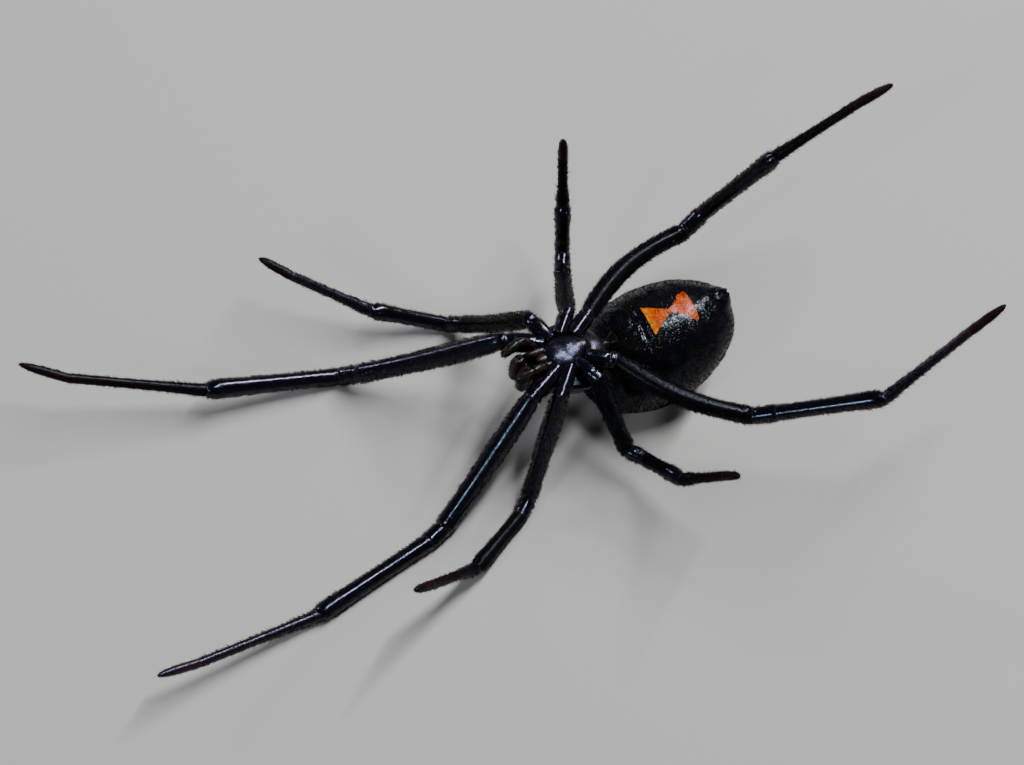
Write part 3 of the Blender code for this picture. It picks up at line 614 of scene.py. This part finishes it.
def leg_rings(pair, side_name):
    """One leg's rings, and how much foot, soft neck and rough shell each is, and its kind."""
    side = SIDES[side_name]
    thick = THIGH_RADIUS[pair]
    lengths = SEGMENTS[pair]
    ways = [heading(swing, lift, side) for swing, lift in POSE[(pair, side_name)]]
    root = on_body(COXA_ROOT[pair][0], side * COXA_ROOT[pair][1], COXA_DEPTH)
    hip_ahead, hip_out = COXA_END[side_name][pair]
    hip = on_body(hip_ahead, side * hip_out, COXA_DEPTH)
    out = unit(hip - root)
    start = root - out * COXA_SUNK
    reach = np.linalg.norm(hip - start)
    coxa = ((0.0, 0.8), (COXA_SUNK, 0.82), (COXA_SUNK + 0.25, 0.88), (reach * 0.66, 0.9),
            (reach * 0.75, 0.85), (reach * 0.8, 0.76), (reach * 0.83, 0.76), (reach * 0.87, 0.84),
            (reach - 0.26, 0.86), (reach - 0.12, 0.82))
    profiles = [[(place, share * thick) for place, share in coxa]]
    for profile, length, size in zip(
            (FEMUR_PROFILE, PATELLA_PROFILE, TIBIA_PROFILE, METATARSUS_PROFILE, TARSUS_PROFILE),
            lengths, (thick, thick, thick, FOOT_RADIUS, FOOT_RADIUS)):
        profiles.append(profile_points(profile, length, size))
    necks = [share * thick for share in LEG_NECKS] + [share * FOOT_RADIUS for share in FOOT_NECKS]
    all_ways = [out] + ways
    facings = [out] + [unit(way + after) for way, after in zip(all_ways, all_ways[1:])] + [ways[-1]]
    ahead, outward, upward = BOW_WAY[pair]
    bow = np.array((side * outward, -ahead, upward)) * (FEMUR_BOW[pair] * lengths[0])
    beside = np.cross(heading(POSE[(pair, side_name)][0][0], 0, side), BELLYWARD)
    grids, feet, softs, roughs, kinds, place = [], [], [], [], [], start
    for index, (way, length) in enumerate(zip(all_ways, (reach,) + lengths)):
        steps = along_segment(length)
        known = [(0.0, necks[index])] + [p for p in profiles[index] if p[0] > 0.0]
        if index < 5:
            known.append((length, necks[index + 1]))
        radii = steady(steps, *zip(*known))
        bend = bow if index == 1 else np.zeros(3)
        grid = limb_segment(place, place + way * length, steps, radii, facings[index],
                            facings[index + 1], beside, bend, LEG_SIDES)
        soft = bell(steps, 0.06) * (index > 0) + bell(length - steps, 0.06) * (index < 5)
        if index == 0:
            soft = soft + bell(steps - reach * 0.815, 0.05)
        foot = {4: 0.1 + 0.5 * steps / length, 5: 0.95 - 0.45 * steps / length}.get(index, 0.0 * steps)
        rough = {1: THIGH_ROUGHNESS[pair] * np.clip(2.2 * (length - steps) / length, 0.0, 1.0),
                 3: SHIN_ROUGHNESS.get((pair, side_name), 0.0),
                 4: METATARSUS_ROUGHNESS, 5: TARSUS_ROUGHNESS}.get(index, 0.0) + 0.0 * steps
        first = 0 if index == 0 else 1
        grids.append(grid[first:])
        softs.append(soft[first:])
        feet.append(foot[first:])
        roughs.append(rough[first:])
        dull = index in DULL_PARTS.get((pair, side_name), ())
        kinds += ["thigh" if dull else "shell"] * (len(steps) - first)
        place = place + way * length
    return [np.concatenate(rows) for rows in (grids, feet, softs, roughs)] + [kinds]


legs = {}
for pair in SEGMENTS:
    for side_name in SIDES:
        grid, foot, soft, rough, kinds = leg_rings(pair, side_name)
        add_surface(grid, kinds, foot[:, None], soft[:, None], rough[:, None])
        legs[(pair, side_name)] = grid, soft

# All of these grow together into one skin. It is a hard, very dark shell with a blue or brown
# cast and a thin clear film on it, brown at the mouth and feet, and dull at the necks.
SHELL_BLUE, SHELL_BROWN = (0.001, 0.0015, 0.003, 1.0), (0.002, 0.0012, 0.0022, 1.0)
NECK_GREY, FOOT_RED = (0.006, 0.004, 0.005, 1.0), (0.01, 0.0026, 0.005, 1.0)
JAW_BROWN = (0.016, 0.007, 0.004, 1.0)
HIDE_BLACK, HIDE_BROWN = (0.001, 0.0015, 0.003, 1.0), (0.004, 0.003, 0.003, 1.0)
MARK_ORANGE, MARK_DEEP = (0.34, 0.045, 0.0, 1.0), (0.06, 0.004, 0.0, 1.0)
MARK_PALE = (0.42, 0.17, 0.0, 1.0)
SHELL_SHINE, HIDE_SHINE, THIGH_SHINE, SHINE_TINT = 0.26, 0.18, 0.06, (0.8, 0.88, 1.0, 1.0)
SHELL_FILM, FILM_INDEX = 430.0, 1.38
SHELL_ROUGH, HIDE_ROUGH, MOUTH_ROUGH = (0.1, 0.2), (0.08, 0.18), (0.26, 0.42)
GRAIN_DEPTH, MOUTH_GRAIN_DEPTH = 0.00001, 0.000015
HIDE_GRAIN_DEPTH, HIDE_PIT_DEPTH = 0.000012, 0.000014
SHELL_PIT_DEPTH = 0.000006
MARK_FRONT, MARK_REAR = -4.70, -7.46
MARK_OUTLINE = ((0.0, 0.0), (0.016, 0.9), (0.244, 0.62), (0.33, 0.51), (0.4, 0.41), (0.46, 0.33),
                (0.5, 0.35), (0.54, 0.45), (0.61, 0.55), (0.79, 0.84), (0.88, 0.93), (0.915, 0.9),
                (0.94, 0.0), (1.0, 0.0))
MARK_SPREAD, MARK_BASE = 1.4, -0.4
RAGGED_ALONG, RAGGED_ACROSS = 0.05, 0.42
MARK_LOWEST, MARK_FULL = 2.2, 1.8


def add_node(tree, kind, **settings):
    """A new node with its settings, given by name, and by the name of each input."""
    node = tree.nodes.new(kind)
    for name, value in settings.items():
        if hasattr(node, name):
            setattr(node, name, value)
        else:
            node.inputs[name.replace("_", " ")].default_value = value
    return node


def noise_of(tree, place, scale, detail=3.0, rough=0.55):
    """Noise over a surface, with its scale in lumps a metre."""
    lumps = add_node(tree, "ShaderNodeTexNoise", Scale=scale, Detail=detail, Roughness=rough)
    tree.links.new(place, lumps.inputs["Vector"])
    return lumps.outputs["Fac"]


def ramp(tree, value, low, high, to_low=0.0, to_high=1.0):
    """A value carried smoothly from one range to another."""
    node = add_node(tree, "ShaderNodeMapRange", interpolation_type="SMOOTHSTEP")
    for name, number in zip(("From Min", "From Max", "To Min", "To Max"), (low, high, to_low, to_high)):
        node.inputs[name].default_value = number
    tree.links.new(value, node.inputs["Value"])
    return node.outputs["Result"]


def sum_of(tree, operation, first, second):
    """One sum of two values, each a socket or a number."""
    node = add_node(tree, "ShaderNodeMath", operation=operation)
    for socket, value in zip(node.inputs, (first, second)):
        if isinstance(value, (int, float)):
            socket.default_value = value
        else:
            tree.links.new(value, socket)
    return node.outputs["Value"]


def blend_of(tree, share, first, second):
    """A colour between two colours, each a socket or a fixed colour."""
    node = add_node(tree, "ShaderNodeMix", data_type="RGBA")
    tree.links.new(share, node.inputs["Factor"])
    for socket, value in ((node.inputs[6], first), (node.inputs[7], second)):
        if isinstance(value, tuple):
            socket.default_value = value
        else:
            tree.links.new(value, socket)
    return node.outputs[2]


def mottled(tree, place, scale, detail, edges, first, second):
    """A colour that passes in soft patches from one colour to another."""
    return blend_of(tree, ramp(tree, noise_of(tree, place, scale, detail), *edges), first, second)


def pits_of(tree, place, scale, edge):
    """Small round pits, packed close."""
    cells = add_node(tree, "ShaderNodeTexVoronoi", Scale=scale)
    tree.links.new(place, cells.inputs["Vector"])
    return ramp(tree, cells.outputs["Distance"], 0.0, edge)


def object_place(tree):
    """Where a point is on the animal, in metres."""
    return tree.nodes.new("ShaderNodeTexCoord").outputs["Object"]


def worn_value(tree, name):
    """A value that the mesh carries at its points."""
    return add_node(tree, "ShaderNodeAttribute", attribute_name=name).outputs["Fac"]


def set_relief(tree, shader, parts, strength):
    """Bump from several heights, each with its depth in metres."""
    normal = None
    for height, depth in parts:
        bump = add_node(tree, "ShaderNodeBump", Strength=strength, Distance=depth)
        tree.links.new(height, bump.inputs["Height"])
        if normal is not None:
            tree.links.new(normal, bump.inputs["Normal"])
        normal = bump.outputs["Normal"]
    tree.links.new(normal, shader.inputs["Normal"])


def belly_mark(tree, place, base):
    """The hourglass over a base colour, with ragged edges and mottled orange."""
    axes = tree.nodes.new("ShaderNodeSeparateXYZ")
    tree.links.new(place, axes.inputs["Vector"])
    edge_noise = sum_of(tree, "SUBTRACT", noise_of(tree, place, 4200.0, 4.0, 0.7), 0.5)
    front, rear = ((CHEST[1] - ahead) * MM for ahead in (MARK_FRONT, MARK_REAR))
    along = add_node(tree, "ShaderNodeMapRange", clamp=False)
    for name, number in (("From Min", front), ("From Max", rear)):
        along.inputs[name].default_value = number
    tree.links.new(axes.outputs["Y"], along.inputs["Value"])
    shifted = sum_of(tree, "ADD", along.outputs["Result"],
                     sum_of(tree, "MULTIPLY", edge_noise, RAGGED_ALONG))
    outline = tree.nodes.new("ShaderNodeFloatCurve")
    curve = outline.mapping.curves[0]
    for index, (share, width) in enumerate(MARK_OUTLINE):
        if index < 2:
            curve.points[index].location = (share, width)
        else:
            curve.points.new(share, width)
    for point in curve.points:
        point.handle_type = "VECTOR"
    outline.mapping.update()
    tree.links.new(shifted, outline.inputs["Value"])
    half_width = sum_of(tree, "ADD", sum_of(tree, "MULTIPLY", outline.outputs["Value"], MARK_SPREAD),
                        MARK_BASE)
    across = sum_of(tree, "SUBTRACT", axes.outputs["X"], float(CHEST[0]) * MM)
    across = sum_of(tree, "MULTIPLY", sum_of(tree, "ABSOLUTE", across, 0.0), 1.0 / MM)
    inside = sum_of(tree, "ADD", sum_of(tree, "SUBTRACT", half_width, across),
                    sum_of(tree, "MULTIPLY", edge_noise, RAGGED_ACROSS))
    mask = ramp(tree, inside, -0.03, 0.04)
    on_belly = ramp(tree, axes.outputs["Z"], (CHEST[2] - MARK_LOWEST) * MM,
                    (CHEST[2] - MARK_FULL) * MM)
    mask = sum_of(tree, "MULTIPLY", mask, on_belly)
    mottle = ramp(tree, noise_of(tree, place, 4500.0, 5.0, 0.75), 0.47, 0.66)
    orange = blend_of(tree, mottle, MARK_ORANGE, MARK_DEEP)
    pale = sum_of(tree, "MULTIPLY", ramp(tree, along.outputs["Result"], 0.16, 0.0),
                  ramp(tree, noise_of(tree, place, 2200.0), 0.4, 0.6))
    orange = blend_of(tree, pale, orange, MARK_PALE)
    return blend_of(tree, mask, base, orange), mask


def set_shine(shader, shine, film=0.0):
    """The gloss of the outermost layer, which is slightly iridescent where it bears a film."""
    shader.inputs["Specular IOR Level"].default_value = shine
    shader.inputs["Thin Film Thickness"].default_value = film
    shader.inputs["Thin Film IOR"].default_value = FILM_INDEX
    shader.inputs["Specular Tint"].default_value = SHINE_TINT


def shell_finish(name, shine, film):
    """Hard black shell, with brown feet and dull necks."""
    finish, tree, shader = new_finish(name)
    place = object_place(tree)
    colour = mottled(tree, place, 900.0, 4.0, (0.42, 0.62), SHELL_BLUE, SHELL_BROWN)
    colour = blend_of(tree, worn_value(tree, "foot"), colour, FOOT_RED)
    soft = worn_value(tree, "soft")
    colour = blend_of(tree, ramp(tree, soft, 0.3, 1.0), colour, NECK_GREY)
    tree.links.new(colour, shader.inputs["Base Color"])
    grain = noise_of(tree, place, 5200.0, 4.0, 0.6)
    dull = ramp(tree, grain, 0.3, 0.7, *SHELL_ROUGH)
    for value, share in ((soft, 0.12), (worn_value(tree, "rough"), 0.22)):
        dull = sum_of(tree, "ADD", dull, sum_of(tree, "MULTIPLY", value, share))
    tree.links.new(dull, shader.inputs["Roughness"])
    pits = pits_of(tree, place, 11000.0, 0.45)
    set_relief(tree, shader, ((grain, GRAIN_DEPTH), (pits, SHELL_PIT_DEPTH)), 0.6)
    set_shine(shader, shine, film)
    return finish


def hide_finish():
    """The abdomen's shiny black hide, with the hourglass."""
    finish, tree, shader = new_finish("abdomen")
    place = object_place(tree)
    black = mottled(tree, place, 1200.0, 4.0, (0.45, 0.65), HIDE_BLACK, HIDE_BROWN)
    colour, mask = belly_mark(tree, place, black)
    tree.links.new(colour, shader.inputs["Base Color"])
    grain = noise_of(tree, place, 6500.0, 5.0, 0.65)
    dull = ramp(tree, grain, 0.3, 0.7, *HIDE_ROUGH)
    dull = sum_of(tree, "ADD", dull, sum_of(tree, "MULTIPLY", mask, 0.1))
    tree.links.new(dull, shader.inputs["Roughness"])
    pits = pits_of(tree, place, 8000.0, 0.5)
    set_relief(tree, shader, ((grain, HIDE_GRAIN_DEPTH), (pits, HIDE_PIT_DEPTH)), 0.8)
    set_shine(shader, HIDE_SHINE)
    return finish


def mouth_finish():
    """Brown, slightly clear shell of the jaws, lobes and feelers."""
    finish, tree, shader = new_finish("jaws")
    place = object_place(tree)
    colour = mottled(tree, place, 1800.0, 4.0, (0.35, 0.7), JAW_BROWN, SHELL_BROWN)
    tree.links.new(colour, shader.inputs["Base Color"])
    grain = noise_of(tree, place, 6000.0, 4.0, 0.6)
    tree.links.new(ramp(tree, grain, 0.3, 0.7, *MOUTH_ROUGH), shader.inputs["Roughness"])
    set_relief(tree, shader, ((grain, MOUTH_GRAIN_DEPTH),), 0.6)
    set_shine(shader, SHELL_SHINE)
    return finish


def make_piece(name, points, faces, finishes, kinds=None, worn=()):
    """A smooth mesh in metres as a piece that rides on the animal, its faces turned outward."""
    data = bpy.data.meshes.new(name)
    data.from_pydata([tuple(point) for point in np.asarray(points, float) * MM], [], faces)
    for finish in finishes:
        data.materials.append(finish)
    if kinds is not None:
        data.polygons.foreach_set("material_index", kinds)
    for label, values in worn:
        worn_map = data.attributes.new(label, "FLOAT", "POINT")
        worn_map.data.foreach_set("value", np.asarray(values, np.float32))
    turned = bmesh.new()
    turned.from_mesh(data)
    bmesh.ops.recalc_face_normals(turned, faces=turned.faces[:])
    turned.to_mesh(data)
    turned.free()
    data.shade_smooth()
    piece = bpy.data.objects.new(name, data)
    bpy.context.scene.collection.objects.link(piece)
    return piece


finishes = {"shell": shell_finish("shell", SHELL_SHINE, SHELL_FILM), "abdomen": hide_finish(),
            "jaw": mouth_finish(), "thigh": shell_finish("thigh", THIGH_SHINE, 0.0)}
kind_order = list(finishes)
skin = make_piece("skin", skin_points, skin_faces, finishes.values(),
                  [kind_order.index(kind) for kind in skin_kinds],
                  (("foot", skin_foot), ("soft", skin_soft), ("rough", skin_rough)))
flesh = ["cephalothorax", "waist", "abdomen", "spinnerets", "palp_left", "palp_right"]
for pair in SEGMENTS:
    for side_name in SIDES:
        flesh += [f"leg_{pair}_{side_name}_{part}" for part in ("coxa", "femur", "tibia", "foot")]
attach(skin, "root")
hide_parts(*flesh)

# The two jaws are short stout blocks of brown shell that hang under the face, side by side. Each
# carries a small curved fang, folded in across its end.
FANG_BASE_AHEAD, FANG_BASE_SPREAD, FANG_BASE_BELLY = 2.44, 0.37, -0.08
JAW_STATIONS = (
    (-1.86, 0.05, 0.06, 0.02), (-1.83, 0.17, 0.2, 0.02), (-1.62, 0.28, 0.32, 0.03),
    (-1.1, 0.335, 0.375, 0.05), (-0.6, 0.335, 0.375, 0.05), (-0.27, 0.29, 0.325, 0.03),
    (-0.1, 0.21, 0.23, 0.0), (-0.07, 0.06, 0.07, 0.0),
)
FANG_STATIONS = ((-0.08, 0.1, 0.0, 0.0), (0.02, 0.095, 0.0, 0.0), (0.1, 0.075, 0.03, 0.01),
                 (0.18, 0.052, 0.1, 0.03), (0.24, 0.03, 0.17, 0.06), (0.27, 0.006, 0.235, 0.095))

jaws = []
for side_name, side in SIDES.items():
    belly, width, depth, ahead = smooth_through(JAW_STATIONS, 6).T
    centres = on_body(FANG_BASE_AHEAD + ahead, side * FANG_BASE_SPREAD, belly)
    grid = oval_rings(centres, np.tile(BELLYWARD, (len(belly), 1)), RIGHTWARD, width, depth, 32)
    grid += unit(grid - centres[:, None]) * roughen(grid, 0.25, 0.02, 8)[..., None]
    jaws.append(grid)
    jaw = make_piece(f"jaw_{side_name}", *closed_surface(grid), (finishes["jaw"],))
    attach(jaw, "root")
    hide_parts(f"chelicera_{side_name}")
    rise, radius, inward, back = smooth_through(FANG_STATIONS, 5).T
    root = on_body(FANG_BASE_AHEAD, side * FANG_BASE_SPREAD, FANG_BASE_BELLY)
    centres = root + np.stack((-side * inward, back, rise), axis=1)
    along = unit(np.gradient(centres, axis=0))
    grid = oval_rings(centres, along, HEADWARD, radius, radius, 16)
    fang = make_piece(f"jaw_fang_{side_name}", *closed_surface(grid), (finishes["jaw"],))
    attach(fang, "root")
    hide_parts(f"fang_{side_name}")

# The eight eyes are small dark domes, as glossy as glass, in two rows across the top of the face.
# Each is set in a low ring of the head's own shell.
EYE_SIZES, EYE_SUNK = {"inner": 0.12, "outer": 0.105}, 0.45
EYE_DOME = ((-0.7, 0.9), (-0.2, 1.0), (0.2, 0.98), (0.5, 0.84), (0.72, 0.62), (0.86, 0.36),
            (0.92, 0.08))
EYE_RING = ((-0.9, 1.7), (-0.35, 1.45), (0.0, 1.2), (0.12, 1.08), (0.05, 0.98), (-0.1, 0.9),
            (-0.3, 0.4))
EYE_BLACK, EYE_AMBER = (0.004, 0.004, 0.006, 1.0), (0.04, 0.018, 0.006, 1.0)
HEAD_MIDDLE = on_body(1.25, 0.0, -1.75)

eye_finish, tree, shader = new_finish("eyes")
place = object_place(tree)
tree.links.new(mottled(tree, place, 9000.0, 3.0, (0.4, 0.65), EYE_BLACK, EYE_AMBER),
               shader.inputs["Base Color"])
tree.links.new(ramp(tree, noise_of(tree, place, 14000.0), 0.3, 0.7, 0.04, 0.12),
               shader.inputs["Roughness"])
shader.inputs["Coat Weight"].default_value = 1.0
shader.inputs["Coat Roughness"].default_value = 0.03
for row in ("front", "rear"):
    for kind, radius in EYE_SIZES.items():
        for side_name in SIDES:
            node = f"eye_{row}_{kind}_{side_name}"
            low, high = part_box(node)
            middle = np.array((low + high) / 2.0) / MM
            way = unit(middle - HEAD_MIDDLE)
            seat = middle - way * (EYE_SUNK * radius)
            for name, profile, finish in (("lens", EYE_DOME, eye_finish),
                                          ("ring", EYE_RING, finishes["shell"])):
                rise, size = smooth_through(profile, 3).T * radius
                rings = oval_rings(seat + way * rise[:, None], np.tile(way, (len(rise), 1)),
                                   RIGHTWARD, size, size, 24)
                dome = make_piece(f"eye_{name}_{row}_{kind}_{side_name}", *closed_surface(rings),
                                  (finish,))
                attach(dome, "root")
                if name == "lens":
                    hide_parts(node)

# Three tiny hooked claws end each foot, a pair and a smaller one between them. They are hard
# brown horn, all made alike.
CLAW_PROFILE = ((-0.06, 0.026), (0.0, 0.024), (0.05, 0.02), (0.1, 0.013), (0.135, 0.004))
CLAW_SPREAD = {-1.0: 1.0, 1.0: 1.0, 0.0: 0.7}
CLAW_GAP, CLAW_SPLAY, CLAW_DIP, CLAW_HOOK = 0.035, 0.35, 0.1, 4.0

claw_points, claw_faces = [], []
for (pair, side_name), (grid, _) in legs.items():
    tip = grid[-6].mean(axis=0)
    along = unit(tip - grid[-14].mean(axis=0))
    under = unit(BELLYWARD - along * (BELLYWARD @ along))
    across = np.cross(along, under)
    for spread, size in CLAW_SPREAD.items():
        size *= 0.8 + 0.2 * THIGH_RADIUS[pair] / 0.5
        run, radius = smooth_through(CLAW_PROFILE, 4).T * size
        way = unit(along + across * (CLAW_SPLAY * spread) - under * CLAW_DIP)
        centres = (tip + across * (CLAW_GAP * spread) + way * run[:, None]
                   + under * (CLAW_HOOK * np.maximum(run, 0.0) ** 2)[:, None])
        rings = oval_rings(centres, unit(np.gradient(centres, axis=0)), across, radius, radius, 10)
        points, faces = closed_surface(rings, len(claw_points))
        claw_points += points
        claw_faces += faces
claws = make_piece("claws", claw_points, claw_faces, (finishes["jaw"],))
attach(claws, "root")

# A coat of short dark hairs covers the whole animal, with a few glossy bristles among them. Each
# is a tapered spike, sunk in the shell, that leans toward the end of its limb or the tail.
HAIR_WIDTH, BRISTLE_WIDTH = 0.012, 0.015
HAIR_DARK, HAIR_OLIVE = (0.0015, 0.001, 0.002, 1.0), (0.004, 0.005, 0.004, 1.0)
RISE_SPREAD, STRAY = 13.0, 0.24
HAIR_SUNK = 0.02
PATCH = 0.0015
# Each kind of hair: how many there are, in all or on a leg for each square mm, how short and
# how long they are, and how steeply they stand.
LEG_HAIR, LEG_BRISTLE = (115.0, (0.12, 0.28), 37.0), (18.0, (0.14, 0.36), 38.0)
ABDOMEN_HAIR, ABDOMEN_BRISTLE = (18500, (0.08, 0.18), 40.0), (3000, (0.08, 0.2), 34.0)
SHIELD_HAIR, PLATE_HAIR = (2200, (0.06, 0.14), 25.0), (350, (0.08, 0.16), 35.0)
LOBE_HAIR, PALP_HAIR, JAW_HAIR = ((count, (0.1, 0.24), 35.0) for count in (160, 520, 300))
draw = np.random.default_rng(7)


def roots_on(grid, count, favour):
    """Places drawn evenly over a surface, with the ways it faces and runs, and their shares."""
    here, after = grid[:-1], grid[1:]
    here_next, after_next = np.roll(here, -1, axis=1), np.roll(after, -1, axis=1)
    area = np.linalg.norm(np.cross(after - here, here_next - here), axis=2) * favour
    pick = draw.choice(area.size, count, p=area.ravel() / area.sum())
    row, side = np.divmod(pick, grid.shape[1])
    run, turn = draw.random((2, count, 1))
    a, b, c, d = (corner[row, side] for corner in (here, here_next, after, after_next))
    place = (a * (1 - turn) + b * turn) * (1 - run) + (c * (1 - turn) + d * turn) * run
    lie = unit((c - a) * (1 - turn) + (d - b) * turn)
    facing = unit(np.cross(lie, (b - a) * (1 - run) + (d - c) * run))
    facing *= np.sign(((place - grid.mean(axis=1)[row]) * facing).sum(axis=1))[:, None]
    along, round_it = (row + run[:, 0]) / (len(grid) - 1), (side + turn[:, 0]) / grid.shape[1]
    return place, facing, lie, np.stack((along, round_it), axis=1)


def grow(grid, count, lengths, stand, band, favour=1.0, taper=None, thick=HAIR_WIDTH):
    """Hairs on a surface, as points of spikes and their places on its unwrapped band."""
    place, facing, lie, shares = roots_on(grid, count, favour)
    length = draw.uniform(lengths[0], lengths[1], (count, 1))
    if taper is not None:
        length *= np.interp(shares[:, 0], *taper)[:, None]
    rise = np.radians(draw.normal(stand, RISE_SPREAD, (count, 1)))
    stray = draw.normal(0.0, STRAY, (count, 3))
    first = unit(lie * np.cos(rise) + facing * np.sin(rise) + stray)
    second = unit(first * 0.75 + lie * 0.35)
    base = place - facing * HAIR_SUNK
    middle = base + first * (length * 0.5)
    tip = middle + second * (length * 0.5)
    beside = unit(np.cross(first, facing + 0.01))
    above = np.cross(first, beside)
    width = thick * draw.uniform(0.75, 1.2, (count, 1))
    turns = [math.radians(turn) for turn in (0.0, 120.0, 240.0)]
    ring = [beside * (math.cos(turn) * width) + above * (math.sin(turn) * width) for turn in turns]
    points = [base + step for step in ring] + [middle + step * 0.7 for step in ring] + [tip]
    points = np.stack(points, axis=1)
    low, high = band
    spot = (0.02 + 0.96 * shares[:, 0], low + (high - low) * (0.04 + 0.92 * shares[:, 1]))
    spot = np.stack(spot, axis=1)
    corners = np.array(((-1, -1), (0, -1), (1, -1), (-0.7, 0), (0, 0), (0.7, 0), (0, 1))) * PATCH
    clear = points[..., 2].min(axis=1) > FLOOR_CLEARANCE
    return points[clear], (spot[:, None] + corners)[clear]


def coat(name, parts, finish):
    """All the hairs of one region as one mesh, with its map."""
    points = np.concatenate([part[0] for part in parts])
    spots = np.concatenate([part[1] for part in parts])
    spike = np.array(((0, 2, 1), (0, 1, 3), (1, 4, 3), (1, 2, 4), (2, 5, 4), (2, 0, 5), (0, 3, 5),
                      (3, 4, 6), (4, 5, 6), (5, 3, 6)))
    corners = (np.arange(len(points))[:, None, None] * 7 + spike).reshape(-1)
    data = bpy.data.meshes.new(name)
    data.vertices.add(len(points) * 7)
    data.vertices.foreach_set("co", (points * MM).ravel())
    data.loops.add(len(corners))
    data.loops.foreach_set("vertex_index", corners)
    data.polygons.add(len(corners) // 3)
    data.polygons.foreach_set("loop_start", np.arange(0, len(corners), 3))
    data.update()
    chart = data.uv_layers.new(name="OFBake")
    chart.data.foreach_set("uv", spots.reshape(-1, 2)[corners].ravel())
    data.materials.append(finish)
    data.shade_smooth()
    piece = bpy.data.objects.new(name, data)
    bpy.context.scene.collection.objects.link(piece)
    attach(piece, "root")


def hair_finish(name, shine, dull, marked=False):
    """Dark, slightly olive hair, which takes the hourglass where it grows over it."""
    finish, tree, shader = new_finish(name)
    place = object_place(tree)
    colour = mottled(tree, place, 5000.0, 3.0, (0.4, 0.62), HAIR_DARK, HAIR_OLIVE)
    if marked:
        colour, _ = belly_mark(tree, place, colour)
    tree.links.new(colour, shader.inputs["Base Color"])
    patches = noise_of(tree, place, 7000.0)
    tree.links.new(ramp(tree, patches, 0.3, 0.7, dull * 0.7, dull), shader.inputs["Roughness"])
    shader.inputs["Specular IOR Level"].default_value = shine
    shader.inputs["Specular Tint"].default_value = SHINE_TINT
    return finish


def area_of(grid):
    """The area of a surface in square mm."""
    around = np.roll(grid, -1, axis=1)[:-1] - grid[:-1]
    return np.linalg.norm(np.cross(grid[1:] - grid[:-1], around), axis=2).sum()


plain_hair, bristle = hair_finish("hair", 0.0, 0.6), hair_finish("bristle", 0.6, 0.25)
LEG_TAPER = ((0.0, 0.1, 0.6, 0.7, 1.0), (0.5, 0.9, 0.8, 1.0, 0.6))


def grow_on_leg(leg, density, lengths, stand, band, thick=HAIR_WIDTH):
    """Hairs on one leg, which are shorter toward its ends and few on its soft necks."""
    grid, soft = leg
    bare = 1.02 - np.clip(soft, 0.0, 1.0)[:-1, None]
    return grow(grid, int(area_of(grid) * density), lengths, stand, band, bare, LEG_TAPER, thick)


for pair in SEGMENTS:
    parts = [grow_on_leg(legs[(pair, side_name)], *LEG_HAIR, band)
             for side_name, band in (("left", (0.0, 0.5)), ("right", (0.5, 1.0)))]
    coat(f"coat_legs_{pair}", parts, plain_hair)
coat("coat_abdomen", [grow(abdomen, *ABDOMEN_HAIR, (0.0, 1.0))],
     hair_finish("abdomen_hair", 0.0, 0.6, True))
head_parts = [grow(shield, *SHIELD_HAIR, (0.0, 0.3)), grow(plate, *PLATE_HAIR, (0.3, 0.4))]
bands = np.linspace(0.4, 1.0, 7)
hairs = (LOBE_HAIR, LOBE_HAIR, PALP_HAIR, PALP_HAIR, JAW_HAIR, JAW_HAIR)
for at, (grid, hair) in enumerate(zip(lobes + palps + jaws, hairs)):
    head_parts.append(grow(grid, *hair, (bands[at], bands[at + 1])))
coat("coat_head", head_parts, plain_hair)

bristles = []
bands = np.linspace(0.0, 1.0, len(legs) + 2)
for at, leg in enumerate(legs.values()):
    bristles.append(grow_on_leg(leg, *LEG_BRISTLE, (bands[at], bands[at + 1]), BRISTLE_WIDTH))
bristles.append(grow(abdomen, *ABDOMEN_BRISTLE, (bands[-2], bands[-1]), thick=BRISTLE_WIDTH))
coat("coat_bristles", bristles, bristle)

# The size that the finished animal has, beside the size of the solids.
size = {"cad": [list(corner) for corner in solid_box],
        "visual": [list(corner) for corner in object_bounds()]}
